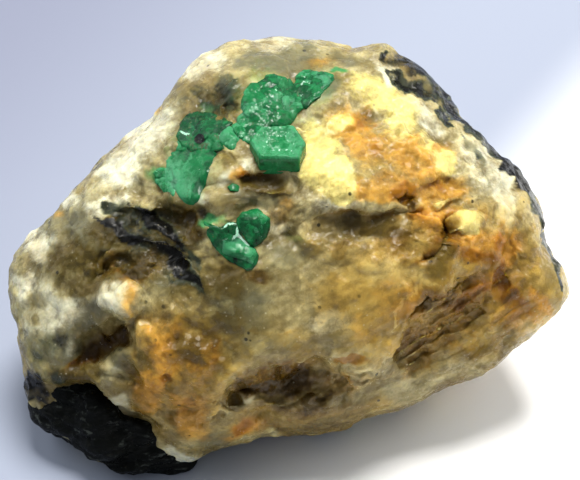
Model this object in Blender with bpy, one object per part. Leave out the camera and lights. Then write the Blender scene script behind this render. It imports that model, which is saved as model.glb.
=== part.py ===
"""Emerald in matrix: a hand-sized piece of quartz and feldspar with emerald crystals in its show face.

The stone is described on its show face, the side that looks up and forward at SHOW_TILT.
A point has three map coordinates in millimetres: s to the right, t up the show face, and w out
of it. Sections narrow towards the show face as a cone TAPER tall would, so map (s, t, w) lies at
(1 - w / TAPER) * (s, t) in the section w. The model stands on z = 0 and is built in metres.
"""
import math

import bmesh
import bpy
import numpy as np
from mathutils import Matrix, Vector, noise

MM = 0.001
MODEL = "emerald_in_matrix"

# ---- driving dimensions of the stone, mm ----
SHOW_TILT = math.radians(50.0)
TAPER = 160.0
MIDDLE_HEIGHT = 15.9
CENTRE_SHIFT = (0.2, -1.5)
FRONT_HEIGHT = 14.5
BACK_HEIGHT = 19.0
PROFILE_POWER = 2.3
EDGE_POWER = 13.0
STONE_DETAIL = 5
GAP = 0.3

AXIS_S = np.array([1.0, 0.0, 0.0])
AXIS_T = np.array([0.0, math.sin(SHOW_TILT), math.cos(SHOW_TILT)])
AXIS_W = np.array([0.0, -math.cos(SHOW_TILT), math.sin(SHOW_TILT)])

# Widest ring of the stone on its show face (s, t), clockwise from the right tip.
OUTLINE = [
    (25.9, -4.1), (25.5, -5.5), (24.0, -6.9), (21.2, -9.4), (18.1, -11.8), (13.8, -13.8),
    (9.1, -16.4), (4.0, -18.0), (-1.8, -18.7), (-7.2, -19.5), (-10.2, -21.1), (-13.8, -21.6),
    (-18.1, -20.3), (-21.8, -18.0), (-24.1, -16.0), (-25.1, -11.9), (-26.2, -5.6), (-25.1, -1.4),
    (-21.8, 2.7), (-17.3, 8.4), (-12.7, 12.0), (-10.2, 15.3), (-7.6, 18.0), (-2.5, 19.1),
    (1.8, 18.5), (8.4, 18.0), (13.1, 15.3), (16.7, 12.0), (20.4, 7.5), (24.0, 1.1),
]

# Broken faces: a point of the face (s, t, w) and the way it looks (s, t, w).
FACES = {
    "plateau": ((5.2, 8.5, 9.6), (0.10, 0.62, 0.78)),
    "broad_front": ((1.9, -4.7, 11.6), (0.02, -0.22, 0.97)),
    "left_slope": ((-17.9, 3.3, 4.6), (-0.58, 0.42, 0.70)),
    "lower_left": ((-15.0, -7.5, 7.4), (-0.42, -0.20, 0.88)),
    "left_foot": ((-13.2, -16.0, 5.6), (-0.40, -0.62, 0.68)),
    "lower_right": ((16.5, -8.5, 5.2), (0.42, -0.52, 0.74)),
    "right_rim": ((21.2, 1.4, 4.2), (0.74, 0.22, 0.63)),
    "upper_right_rim": ((14.1, 13.6, 4.2), (0.50, 0.66, 0.56)),
    "top_rim": ((0.0, 16.9, 3.4), (-0.05, 0.86, 0.50)),
    "top_left_corner": ((-8.5, 15.0, 4.4), (-0.55, 0.62, 0.56)),
    "bottom_lip": ((2.8, -16.5, 4.4), (0.05, -0.86, 0.52)),
    "right_shoulder": ((15.0, 1.9, 9.0), (0.36, 0.10, 0.93)),
    "left_shoulder": ((-6.6, 3.8, 11.2), (-0.22, 0.18, 0.96)),
    "back": ((0.0, 0.0, -17.5), (0.05, 0.10, -0.99)),
    "back_upper_right": ((12.2, 7.5, -9.0), (0.55, 0.45, -0.70)),
    "back_upper_left": ((-12.2, 6.6, -9.0), (-0.50, 0.50, -0.70)),
    "back_right": ((17.9, -4.7, -8.0), (0.80, -0.25, -0.55)),
    "back_left": ((-19.7, -5.6, -8.0), (-0.80, -0.10, -0.59)),
    "back_top": ((0.0, 16.9, -8.0), (0.0, 0.86, -0.50)),
}

# Ledges: the line of the lip (s, t), from left to right. Below it the stone drops by DROP and
# comes back over FADE.
LEDGES = {
    "plateau_front": ([(0.8, 3.9), (6.6, 3.5), (11.5, 3.8), (14.7, 3.2)], 1.3, 3.8),
    "lip_crevice": ([(-6.9, -15.4), (-3.8, -12.6), (0.9, -11.8), (6.4, -11.0)], 2.2, 3.4),
    "slab_arc": ([(8.7, -11.8), (10.3, -8.9), (11.5, -5.9), (14.1, -4.0), (18.0, -3.0)], 1.4, 6.5),
}

# Hollows and swells: middle (s, t), half sizes, turn in degrees, depth (a swell is negative).
HOLLOWS = {
    "brown_cavity": ((-17.6, -9.7), (3.6, 2.0), 34.0, 1.7),
    "orange_cavity": ((-16.2, -2.4), (1.7, 0.9), 24.0, 0.9),
    "rust_pit": ((14.5, 0.6), (0.9, 1.5), -12.0, 1.2),
    "gold_cavity": ((13.9, 5.3), (1.6, 0.9), 8.0, 1.0),
    "quartz_lobe": ((-6.5, 6.3), (1.6, 1.2), -10.0, -0.7),
    "pale_block": ((-16.7, -5.6), (2.5, 1.9), -15.0, -0.8),
    "left_marble": ((-22.4, -6.6), (2.3, 3.2), -12.0, -0.6),
}
ROUGHNESS = ((9.0, 0.9), (4.0, 0.45))

# ---- schist remnant at the lower left ----
KNOB_MIDDLE = (-18.7, -17.3, -1.0)
KNOB_HALF_SIZE = (8.2, 4.5, 7.0)
KNOB_TURN = -24.0

# ---- emerald crystals, places on the show face in mm ----
# Prisms: middle of the free end (s, t), height above the stone, length, corner radii of the free
# end and of the root, the way it points (s, t, w), and its width across as a share of the radius.
PRISMS = {
    "emerald_hexagonal_crystal": ((-1.1, 9.4), 2.1, 5.2, 2.45, 2.45, (0.0, 0.643, 0.766), 1.0),
    "emerald_left_band": ((-8.5, 9.9), 0.35, 1.9, 1.75, 1.5, (-0.45, 0.35, 0.82), 0.62),
    "emerald_left_blade": ((-9.2, 5.6), 0.45, 2.2, 2.2, 1.7, (-0.35, 0.10, 0.93), 0.78),
    "emerald_lower_prism": ((-5.1, -1.0), 0.65, 2.6, 1.75, 1.3, (-0.30, 0.20, 0.93), 0.66),
}
PRISM_TURNS = {
    "emerald_hexagonal_crystal": 30.0,
    "emerald_left_band": 48.0,
    "emerald_left_blade": 80.0,
    "emerald_lower_prism": -46.0,
}
# Grains: middle (s, t), radius and share of the radius that stands out of the stone.
CLUSTERS = {
    "emerald_upper_cluster": [
        ((-1.6, 13.3), 1.3, 0.5), ((-2.9, 13.8), 1.2, 0.4), ((-1.8, 14.6), 1.1, 0.4),
        ((-0.2, 12.9), 1.2, 0.5), ((-3.4, 12.5), 1.2, 0.4), ((-3.2, 11.5), 1.0, 0.4),
    ],
    "emerald_top_right_cluster": [
        ((1.9, 14.2), 1.0, 0.5), ((3.0, 14.7), 1.0, 0.5), ((3.9, 15.1), 0.8, 0.5),
    ],
    "emerald_pale_grain": [((-5.5, 9.7), 0.95, 0.6)],
    "emerald_lower_grains": [
        ((-3.2, 1.9), 0.95, 0.5), ((-2.5, 0.9), 0.85, 0.4), ((-3.9, 1.0), 0.75, 0.4),
    ],
    "emerald_speck": [((-5.3, 5.0), 0.5, 0.5)],
}
GRAIN_DETAIL = 2
END_BEVEL = 0.18

COLOURS = {
    "matrix": ((0.62, 0.55, 0.42), 0.45),
    "schist_knob": ((0.02, 0.022, 0.025), 0.3),
    "emerald": ((0.02, 0.38, 0.19), 0.15),
}


# ---- the stone's shape ----
def outline_radius(bearing):
    """Distance of the outline at each bearing, from a smooth curve through OUTLINE."""
    points = np.array(OUTLINE)
    before, after, later = (np.roll(points, shift, axis=0) for shift in (1, -1, -2))
    steps = np.linspace(0.0, 1.0, 12, endpoint=False)[:, None, None]
    curve = 0.5 * (2.0 * points + (after - before) * steps
                   + (2.0 * before - 5.0 * points + 4.0 * after - later) * steps ** 2
                   + (3.0 * points - before - 3.0 * after + later) * steps ** 3)
    curve = curve.reshape(-1, 2)
    angle = np.arctan2(curve[:, 1], curve[:, 0])
    order = np.argsort(angle)
    return np.interp(bearing, angle[order], np.hypot(*curve[order].T), period=2.0 * math.pi)


def body_radius(direction):
    """Radius of the stone in map directions: a rounded body on the outline, cut by the FACES.

    The body and every face are joined by a power mean, which rounds the edges between them.
    """
    bearing = np.arctan2(direction[:, 1], direction[:, 0])
    across = np.hypot(direction[:, 0], direction[:, 1]) / outline_radius(bearing)
    height = np.where(direction[:, 2] > 0.0, FRONT_HEIGHT, BACK_HEIGHT)
    total = (across ** PROFILE_POWER + (np.abs(direction[:, 2]) / height) ** PROFILE_POWER)
    total = total ** (EDGE_POWER / PROFILE_POWER)
    for point, looks in FACES.values():
        normal = np.array(looks) / np.linalg.norm(looks)
        total += np.maximum(direction @ normal / (np.array(point) @ normal), 0.0) ** EDGE_POWER
    return total ** (-1.0 / EDGE_POWER)


def ring_stretch():
    """Bearings, and the stretch that brings the widest ring back out to the outline there."""
    bearing = np.linspace(-math.pi, math.pi, 361)[:-1]
    slope = np.linspace(-1.5, 1.5, 151)
    turn, rise = np.meshgrid(bearing, slope, indexing="ij")
    direction = np.stack([np.cos(turn) * np.cos(rise), np.sin(turn) * np.cos(rise), np.sin(rise)], -1)
    radius = body_radius(direction.reshape(-1, 3)).reshape(turn.shape)
    return bearing, outline_radius(bearing) / (radius * np.cos(rise)).max(axis=1)


def line_distance(place, line):
    """Signed distance from the line, + above it, and the share of the way along it."""
    line = np.array(line)
    legs = np.diff(line, axis=0)
    lengths = np.linalg.norm(legs, axis=1)
    starts = np.concatenate([[0.0], np.cumsum(lengths)])
    best, share = np.full(len(place), np.inf), np.zeros(len(place))
    for index, leg in enumerate(legs):
        offset = place - line[index]
        along = np.clip(offset @ leg / lengths[index] ** 2, 0.0, 1.0)
        miss = np.linalg.norm(offset - along[:, None] * leg, axis=1)
        side = np.sign(leg[0] * offset[:, 1] - leg[1] * offset[:, 0])
        nearer = miss < np.abs(best)
        best = np.where(nearer, miss * side, best)
        share = np.where(nearer, (starts[index] + along * lengths[index]) / starts[-1], share)
    return best, share


def ease(low, high, value):
    """Smooth step from 0 at low to 1 at high."""
    share = np.clip((value - low) / (high - low), 0.0, 1.0)
    return share * share * (3.0 - 2.0 * share)


def relief(place):
    """Depth of the ledges and hollows below the body at each place (s, t)."""
    depth = np.zeros(len(place))
    for line, drop, fade in LEDGES.values():
        above, share = line_distance(place, line)
        ends = ease(0.0, 0.15, share) * ease(1.0, 0.85, share)
        depth += drop * ends * ease(0.3, -0.5, above) * np.exp(-(np.maximum(-above, 0.0) / fade) ** 1.4)
    for middle, half, turn, deep in HOLLOWS.values():
        angle = math.radians(turn)
        offset = place - np.array(middle)
        along = offset @ np.array([math.cos(angle), math.sin(angle)])
        across = offset @ np.array([-math.sin(angle), math.cos(angle)])
        depth += deep * ease(1.2, 0.5, np.hypot(along / half[0], across / half[1]))
    return depth


def to_world(mapped):
    """World places in metres of map points (s, t, w) in mm."""
    narrow = 1.0 - mapped[:, 2:] / TAPER
    world = mapped[:, :1] * narrow * AXIS_S + mapped[:, 1:2] * narrow * AXIS_T + mapped[:, 2:] * AXIS_W
    return (world + np.array([*CENTRE_SHIFT, MIDDLE_HEIGHT])) * MM


def surface_height(place):
    """Height w of the show face at one place (s, t), found by halving the span."""
    bearings, stretches = ring_stretch()
    stretch = np.interp(math.atan2(place[1], place[0]), bearings, stretches, period=2.0 * math.pi)
    low, high = 0.0, FRONT_HEIGHT
    for _ in range(30):
        middle = 0.5 * (low + high)
        point = np.array([[place[0] / stretch, place[1] / stretch, middle]])
        reach = np.linalg.norm(point)
        inside = reach < body_radius(point / reach)[0]
        low, high = (middle, high) if inside else (low, middle)
    return low - relief(np.array([place]))[0]


def shape_stone(mesh):
    """Move the points of a unit ball onto the stone's surface, flat where it stands on z = 0."""
    flat = np.empty(len(mesh.vertices) * 3, dtype=np.float32)
    mesh.vertices.foreach_get("co", flat)
    direction = flat.reshape(-1, 3).astype(float) * np.array([26.0, 21.0, 15.0])
    direction /= np.linalg.norm(direction, axis=1, keepdims=True)
    mapped = direction * body_radius(direction)[:, None]
    bearings, stretches = ring_stretch()
    bearing = np.arctan2(mapped[:, 1], mapped[:, 0])
    mapped[:, :2] *= np.interp(bearing, bearings, stretches, period=2.0 * math.pi)[:, None]
    mapped[:, 2] -= relief(mapped[:, :2]) * ease(-0.05, 0.35, direction[:, 2])
    for size, height in ROUGHNESS:
        swell = np.array([noise.noise(Vector(point / size)) for point in mapped])
        mapped[:, 2] += height * swell * np.sign(direction[:, 2]) * ease(0.1, 0.5, np.abs(direction[:, 2]))
    world = to_world(mapped)
    world[:, 2] = np.maximum(world[:, 2], 0.0)
    mesh.vertices.foreach_set("co", world.astype(np.float32).ravel())
    mesh.update()


# ---- building blocks ----
def new_collection(name):
    """A new collection, linked to the scene."""
    collection = bpy.data.collections.new(name)
    bpy.context.scene.collection.children.link(collection)
    return collection


def new_object(name, mesh, collection):
    """Link a mesh as an object in the collection."""
    piece = bpy.data.objects.new(name, mesh)
    collection.objects.link(piece)
    return piece


def ball(name, detail):
    """A unit ball of triangles as a new mesh."""
    mesh = bpy.data.meshes.new(name)
    build = bmesh.new()
    bmesh.ops.create_icosphere(build, subdivisions=detail, radius=1.0)
    build.to_mesh(mesh)
    build.free()
    return mesh


def hide_cutter(piece):
    """Mark an object as a cutter that the model leaves out."""
    piece.hide_render = True
    piece.display_type = "WIRE"
    return piece


def give_material(piece, kind):
    """Give the piece its own material with the colour and roughness of its kind."""
    colour, roughness = COLOURS[kind]
    material = bpy.data.materials.new(piece.name)
    material.use_nodes = True
    shader = material.node_tree.nodes["Principled BSDF"]
    shader.inputs["Base Color"].default_value = (*colour, 1.0)
    shader.inputs["Roughness"].default_value = roughness
    shader.inputs["Metallic"].default_value = 0.0
    piece.data.materials.clear()
    piece.data.materials.append(material)


def boolean(piece, operation, other):
    """Add an exact Boolean with one object, or with all objects of a collection."""
    modifier = piece.modifiers.new(operation.lower(), "BOOLEAN")
    modifier.operation = operation
    modifier.solver = "EXACT"
    if isinstance(other, bpy.types.Collection):
        modifier.operand_type = "COLLECTION"
        modifier.collection = other
    else:
        modifier.object = other


def grown(mesh, name, gap):
    """A copy of a convex mesh in metres, larger by at least the gap on every side."""
    copy = mesh.copy()
    copy.name = name
    points = np.array([vertex.co for vertex in copy.vertices])
    middle = points.mean(axis=0)
    planes = [(polygon.center - Vector(middle)).dot(polygon.normal) for polygon in copy.polygons]
    points = middle + (points - middle) * (1.0 + gap * MM / min(planes))
    copy.vertices.foreach_set("co", points.astype(np.float32).ravel())
    copy.update()
    return copy


def aim(axis, turn):
    """Rotation that points local Z along a map axis and turns about it by degrees."""
    world = axis[0] * AXIS_S + axis[1] * AXIS_T + axis[2] * AXIS_W
    pointed = Vector(world).to_track_quat("Z", "Y").to_matrix().to_4x4()
    return pointed @ Matrix.Rotation(math.radians(turn), 4, "Z")


def prism_mesh(name):
    """A six-sided crystal with softened end edges, set into the show face."""
    place, proud, length, end_radius, root_radius, axis, width = PRISMS[name]
    build = bmesh.new()
    bmesh.ops.create_cone(build, segments=6, radius1=root_radius * MM, radius2=end_radius * MM,
                          depth=length * MM, cap_ends=True, cap_tris=False)
    end_edges = [edge for edge in build.edges if all(vertex.co.z > 0.0 for vertex in edge.verts)]
    bmesh.ops.bevel(build, geom=end_edges, offset=END_BEVEL * MM, segments=1, affect="EDGES")
    end = np.array([[*place, surface_height(place) + proud]])
    stand = Matrix.Translation(Vector(to_world(end)[0])) @ aim(axis, PRISM_TURNS[name])
    stretch = Matrix.Diagonal((1.0, width, 1.0, 1.0))
    build.transform(stand @ stretch @ Matrix.Translation((0.0, 0.0, -0.5 * length * MM)))
    mesh = bpy.data.meshes.new(name)
    build.to_mesh(mesh)
    build.free()
    return mesh


def grain_mesh(name, place, radius, proud, seed):
    """A blocky crystal grain: a jittered ball of flat faces, set into the show face."""
    draw = np.random.default_rng(seed)
    build = bmesh.new()
    bmesh.ops.create_icosphere(build, subdivisions=GRAIN_DETAIL, radius=radius * MM)
    for vertex in build.verts:
        vertex.co *= draw.uniform(0.88, 1.06)
    middle = np.array([[*place, surface_height(place) - radius * (1.0 - 2.0 * proud)]])
    turn = Matrix.Rotation(draw.uniform(0.0, math.tau), 4, Vector(draw.normal(size=3)).normalized())
    build.transform(Matrix.Translation(Vector(to_world(middle)[0])) @ turn)
    mesh = bpy.data.meshes.new(name)
    build.to_mesh(mesh)
    build.free()
    return mesh


# ---- the pieces ----
def make_knob_block(name, gap, collection):
    """A blocky cutter that takes the schist corner out of the stone, larger by the gap."""
    mesh = ball(name, 3)
    turn = Matrix.Rotation(math.radians(KNOB_TURN), 4, "Z")
    for vertex in mesh.vertices:
        bump = 1.0 + 0.12 * noise.noise(vertex.co * 2.2)
        half = Vector([size * bump + gap for size in KNOB_HALF_SIZE])
        mapped = turn @ Vector([axis * span for axis, span in zip(vertex.co, half)]) + Vector(KNOB_MIDDLE)
        vertex.co = Vector(to_world(np.array([mapped]))[0])
    mesh.update()
    return hide_cutter(new_object(name, mesh, collection))


def make_stone(parts, cutters):
    """The matrix and the schist corner, split along the knob block with a gap between them."""
    matrix = new_object("matrix", ball("matrix", STONE_DETAIL), parts)
    shape_stone(matrix.data)
    knob = new_object("schist_knob", matrix.data.copy(), parts)
    boolean(knob, "INTERSECT", make_knob_block("knob_block", 0.0, cutters))
    boolean(matrix, "DIFFERENCE", make_knob_block("knob_socket", GAP, cutters))
    give_material(matrix, "matrix")
    give_material(knob, "schist_knob")
    return matrix


def make_emeralds(parts, cutters, sockets):
    """Every emerald piece, and an enlarged socket for each in the sockets' collection."""
    clear_of = []
    for name in PRISMS:
        crystal = new_object(name, prism_mesh(name), parts)
        socket = grown(crystal.data, f"{name}_socket", GAP)
        clear_of.append(hide_cutter(new_object(socket.name, socket, sockets)))
        give_material(crystal, "emerald")
    seed = 0
    for name, grains in CLUSTERS.items():
        meshes = []
        for place, radius, proud in grains:
            seed += 1
            meshes.append(grain_mesh(name, place, radius, proud, seed))
        cluster = new_object(name, meshes[0], parts)
        for index, mesh in enumerate(meshes[1:]):
            boolean(cluster, "UNION", hide_cutter(new_object(f"{name}_grain_{index}", mesh, cutters)))
        for socket in clear_of:
            boolean(cluster, "DIFFERENCE", socket)
        give_material(cluster, "emerald")
        for index, mesh in enumerate(meshes):
            socket = grown(mesh, f"{name}_socket_{index}", GAP)
            clear_of.append(hide_cutter(new_object(socket.name, socket, sockets)))


def main():
    """Clear the scene, make the pieces and cut the sockets out of the matrix."""
    for piece in list(bpy.data.objects):
        bpy.data.objects.remove(piece, do_unlink=True)
    parts = new_collection(MODEL)
    cutters = new_collection("cutters")
    sockets = new_collection("sockets")
    matrix = make_stone(parts, cutters)
    make_emeralds(parts, cutters, sockets)
    boolean(matrix, "DIFFERENCE", sockets)


main()
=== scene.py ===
"""Emerald in matrix: the finished surface of the stone, its schist corner and its emeralds.

Everything is laid out on the stone's show face, the side that looks up and forward. A place there
has three map coordinates in millimetres: s to the right, t up the face and w out of it. Places are
read off a drawing grid laid over the face, with x to the right and y down in squares of GRID mm.
"""
from __future__ import annotations

import logging
import math
from dataclasses import dataclass, field
from enum import Enum
from typing import Iterable, Iterator, NamedTuple, Sequence

import bpy
import numpy as np
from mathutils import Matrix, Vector

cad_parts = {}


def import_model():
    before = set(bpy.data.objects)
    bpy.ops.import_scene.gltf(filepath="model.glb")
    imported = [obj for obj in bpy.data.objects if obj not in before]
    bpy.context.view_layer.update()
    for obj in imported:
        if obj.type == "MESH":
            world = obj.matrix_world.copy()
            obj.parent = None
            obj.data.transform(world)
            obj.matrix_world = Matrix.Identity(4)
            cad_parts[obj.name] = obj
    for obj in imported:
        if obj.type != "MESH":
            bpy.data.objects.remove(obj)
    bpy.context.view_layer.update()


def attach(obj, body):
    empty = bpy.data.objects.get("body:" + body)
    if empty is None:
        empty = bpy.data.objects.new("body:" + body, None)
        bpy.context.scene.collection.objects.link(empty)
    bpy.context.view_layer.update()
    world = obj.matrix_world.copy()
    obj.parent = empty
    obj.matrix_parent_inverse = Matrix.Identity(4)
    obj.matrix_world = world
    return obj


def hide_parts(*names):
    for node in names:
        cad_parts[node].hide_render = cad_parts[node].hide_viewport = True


LOG = logging.getLogger("emerald_in_matrix")

MM = 0.001
# The drawing grid: size of a square in mm, its middle and its width in squares.
GRID = 0.094
GRID_MIDDLE = (290.0, 240.0)
GRID_WIDTH = 580
BODY = "root"

Array = np.ndarray
Material = bpy.types.Material
Piece = bpy.types.Object
GridPoint = tuple[float, float]
Triple = tuple[float, float, float]
# The largest 32-bit number.
WORD = 0xFFFFFFFF
# Which of a cell's random draws are its tone, its lift and its slope.
TONE, LIFT, SLOPE = 5, 7, 11


# ---- noise and small helpers
def ease(low: float, high: float, value: Array) -> Array:
    """Smooth step from 0 at low to 1 at high."""
    share = np.clip((value - low) / (high - low), 0.0, 1.0)
    return share * share * (3.0 - 2.0 * share)


def on_grid(points: Sequence[GridPoint]) -> Array:
    """Map places (s, t) in mm of points on the drawing grid."""
    squares = np.asarray(points, float)
    return (squares - GRID_MIDDLE) * (GRID, -GRID)


def cell_key(cell: Array, seed: int) -> Array:
    """A whole-number key for each lattice cell, by mixing the bits of its three indices."""
    index = cell.astype(np.int64).astype(np.uint32)
    key = (index[..., 0] * np.uint32(374761393) + index[..., 1] * np.uint32(668265263)
           + index[..., 2] * np.uint32(2246822519) + np.uint32((seed * 3266489917) & WORD))
    key ^= key >> np.uint32(15)
    key *= np.uint32(2246822519)
    key ^= key >> np.uint32(13)
    key *= np.uint32(3266489917)
    return key ^ (key >> np.uint32(16))


def key_value(key: Array, draw: int = 0) -> Array:
    """The draw-th even random value from 0 to 1 that belongs to each key."""
    mixed = key + np.uint32((0x9E3779B9 * (draw + 1)) & WORD)
    mixed ^= mixed >> np.uint32(16)
    mixed *= np.uint32(0x7FEB352D)
    mixed ^= mixed >> np.uint32(15)
    mixed *= np.uint32(0x846CA68B)
    mixed ^= mixed >> np.uint32(16)
    return mixed.astype(np.float64) / WORD


def key_vector(key: Array, draw: int = 0) -> Array:
    """A random vector for each key, each part from -1 to 1."""
    return np.stack([key_value(key, draw + part) for part in range(3)], axis=-1) * 2.0 - 1.0


def gradient_noise(points: Array, seed: int) -> Array:
    """Smooth lattice noise of about -1 to 1: random slopes at the corners, blended by a quintic."""
    cell = np.floor(points)
    local = points - cell
    blend = local ** 3 * (local * (local * 6.0 - 15.0) + 10.0)
    total = np.zeros(points.shape[:-1])
    for corner in np.ndindex(2, 2, 2):
        offset = np.array(corner, float)
        slope = key_vector(cell_key(cell + offset, seed))
        weight = np.prod(np.where(offset > 0.0, blend, 1.0 - blend), axis=-1)
        total += weight * ((local - offset) * slope).sum(axis=-1)
    return total * 1.6


def map_noise(first: Array, second: Array, seed: int) -> Array:
    """Lattice noise over two coordinates, which may be scaled apart."""
    return gradient_noise(np.column_stack([first, second, np.zeros(len(first))]), seed)


def fractal(points: Array, octaves: int, seed: int) -> Array:
    """Sum of noise octaves, each about twice as fine and half as high as the last."""
    total = np.zeros(points.shape[:-1])
    for octave in range(octaves):
        total += 0.5 ** octave * gradient_noise(points * 2.03 ** octave, seed + 17 * octave)
    return total


def nearby_cells(points: Array, size: float, seed: int, shift: float) -> Iterator[tuple[Array, Array]]:
    """Visit the 27 lattice cells around every point.

    Args:
        points: places in mm.
        size: size of a cell in mm.
        seed: the cells' seed.
        shift: how far a cell's middle may be moved at random, in cells.

    Yields:
        A cell's key and the way in cells from its middle to the point.
    """
    scaled = points / size
    base = np.floor(scaled)
    for corner in np.ndindex(3, 3, 3):
        cell = base + np.array(corner, float) - 1.0
        key = cell_key(cell, seed)
        yield key, scaled - (cell + 0.5 + shift * key_vector(key))


def mosaic(points: Array, size: float, seed: int, curve: float = 0.7) -> tuple[Array, Array, Array]:
    """Broken, plate-like relief: at each point the highest of tilted plates, one a lattice cell.

    A plate's height is a random slope times the way from its middle, less curve times the square
    of that way.

    Args:
        points: places in mm.
        size: size of a plate in mm.
        seed: the plates' seed.
        curve: how strongly a plate bends down away from its middle.

    Returns:
        The height in plate sizes, each plate's own tone from 0 to 1, and how far the next plate
        lies below, which is 0 on the edges between plates.
    """
    best, second = (np.full(points.shape[:-1], -np.inf) for _ in range(2))
    tone = np.zeros(points.shape[:-1])
    for key, away in nearby_cells(points, size, seed, 0.4):
        lift = 0.3 * (key_value(key, LIFT) - 0.5)
        height = (away * key_vector(key, SLOPE)).sum(-1) - curve * (away * away).sum(-1) + lift
        second = np.maximum(second, np.minimum(best, height))
        tone = np.where(height > best, key_value(key, TONE), tone)
        best = np.maximum(best, height)
    return best - 0.1, tone, best - second


class Plates(NamedTuple):
    """A layer of the mosaic's plates, or, with scoop, of shell-shaped hollows between ridges.

    Its height is a share of the mosaic's. Size and shift are in mm.
    """

    share: float
    size: float
    seed: int
    curve: float = 0.7
    scoop: bool = False
    shift: float = 0.0

    def height(self, points: Array) -> Array:
        """Height of the layer in mm at each point."""
        reach = -self.size if self.scoop else self.size
        return self.share * (reach * mosaic(points + self.shift, self.size, self.seed, self.curve)[0])


def cell_tone(points: Array, size: float, seed: int) -> Array:
    """One random value from 0 to 1 for each Voronoi cell of the given size in mm."""
    best = np.full(points.shape[:-1], np.inf)
    tone = np.zeros(points.shape[:-1])
    for key, away in nearby_cells(points, size, seed, 0.45):
        gap = (away * away).sum(-1)
        tone = np.where(gap < best, key_value(key, TONE), tone)
        best = np.minimum(best, gap)
    return tone


def cube_sphere(count: int) -> tuple[Array, Array]:
    """A welded ball of squares: unit directions and quads, count squares along a cube's edge."""
    line = np.tan(np.linspace(-1.0, 1.0, count + 1) * math.pi / 4.0)
    a, b = np.meshgrid(line, line, indexing="ij")
    one = np.ones_like(a)
    sides = ((a, b, one), (b, a, -one), (one, a, b), (-one, b, a), (b, one, a), (a, -one, b))
    points = np.concatenate([np.stack(side, -1).reshape(-1, 3) for side in sides])
    index = np.arange((count + 1) ** 2).reshape(count + 1, count + 1)
    quad = np.stack([index[:-1, :-1], index[1:, :-1], index[1:, 1:], index[:-1, 1:]], -1).reshape(-1, 4)
    quads = np.concatenate([quad + side * (count + 1) ** 2 for side in range(6)])
    points = unit(points)
    _, first, place = np.unique(np.round(points * 1e6), axis=0, return_index=True, return_inverse=True)
    return points[first], place.reshape(-1)[quads]


def unit(vectors: Array) -> Array:
    """The vectors, one a row, each brought to a length of 1."""
    return vectors / np.linalg.norm(vectors, axis=1, keepdims=True)


def ways(degrees: float) -> tuple[Array, Array]:
    """Unit vectors on the map along a bearing and square to it, on its left."""
    angle = math.radians(degrees)
    along = np.array([math.cos(angle), math.sin(angle)])
    return along, np.array([-along[1], along[0]])


def moved_out(points: Array, quads: Array, height: Array) -> Array:
    """The mesh's vertices moved along their normals, taken from the quads' diagonals."""
    a, b, c, d = (points[quads[:, corner]] for corner in range(4))
    face = np.cross(c - a, d - b)
    total = np.zeros_like(points)
    for corner in range(4):
        np.add.at(total, quads[:, corner], face)
    normals = total / np.maximum(np.linalg.norm(total, axis=1, keepdims=True), 1e-12)
    return points + normals * height[:, None]


@dataclass(frozen=True)
class ShowFace:
    """The map laid over the stone's show face, and the eye point that looks straight at it."""

    tilt: float = math.radians(50.0)
    taper: float = 160.0
    middle: Triple = (0.2, -1.5, 15.9)

    @property
    def axes(self) -> Array:
        """World directions of s, t and w as rows."""
        sine, cosine = math.sin(self.tilt), math.cos(self.tilt)
        return np.array([[1.0, 0.0, 0.0], [0.0, sine, cosine], [0.0, -cosine, sine]])

    def to_world(self, mapped: Array) -> Array:
        """World places in mm: sections narrow by 1 - w / taper towards the eye."""
        narrow = 1.0 - mapped[:, 2:] / self.taper
        flat = np.concatenate([mapped[:, :2] * narrow, mapped[:, 2:]], axis=1)
        return flat @ self.axes + self.middle

    def to_map(self, world: Array) -> Array:
        """Map places of world places, both in mm."""
        flat = (world - self.middle) @ self.axes.T
        narrow = 1.0 - flat[:, 2:] / self.taper
        return np.concatenate([flat[:, :2] / narrow, flat[:, 2:]], axis=1)


FACE = ShowFace()
# A way in the noise's lattice that is long enough for unrelated values.
APART = 31.7
# The chart of the finished front: size of a square and half sizes, in mm.
CELL = 0.25
CHART_HALF = (30.0, 26.0)


# ---- meshes
def link_mesh(name: str, points: Array, faces: Array, material: Material,
              marks: dict[str, Array] | None = None) -> Piece:
    """Put points in mm and faces into a new smooth-shaded object at the origin.

    Args:
        name: the object's name.
        points: world places in mm, one row each.
        faces: vertex indices, one row a face, all with the same number of corners.
        material: the finish.
        marks: named values per vertex for the finish to read.

    Returns:
        The linked object.
    """
    mesh = bpy.data.meshes.new(name)
    count, sides = faces.shape
    mesh.vertices.add(len(points))
    mesh.vertices.foreach_set("co", (points * MM).astype(np.float32).ravel())
    mesh.loops.add(count * sides)
    mesh.loops.foreach_set("vertex_index", faces.astype(np.int32).ravel())
    mesh.polygons.add(count)
    mesh.polygons.foreach_set("loop_start", np.arange(0, count * sides, sides, dtype=np.int32))
    mesh.update(calc_edges=True)
    mesh.validate()
    mesh.polygons.foreach_set("use_smooth", np.ones(count, bool))
    for mark, values in (marks or {}).items():
        layer = mesh.attributes.new(mark, "FLOAT", "POINT")
        layer.data.foreach_set("value", values.astype(np.float32))
    mesh.materials.append(material)
    piece = bpy.data.objects.new(name, mesh)
    bpy.context.scene.collection.objects.link(piece)
    LOG.info("%s: %d faces", name, count)
    return piece


def enlist(piece: Piece, slot: str, *nodes: str) -> None:
    """Let the piece ride on the body and hide the nodes it stands for."""
    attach(piece, BODY)
    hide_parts(*nodes)


# ---- shapes on the show face
class Facet(NamedTuple):
    """A broken face: a point of it (x, y on the grid, w in mm) and the way it looks (s, t, w)."""

    x: float
    y: float
    w: float
    looks: Triple


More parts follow.
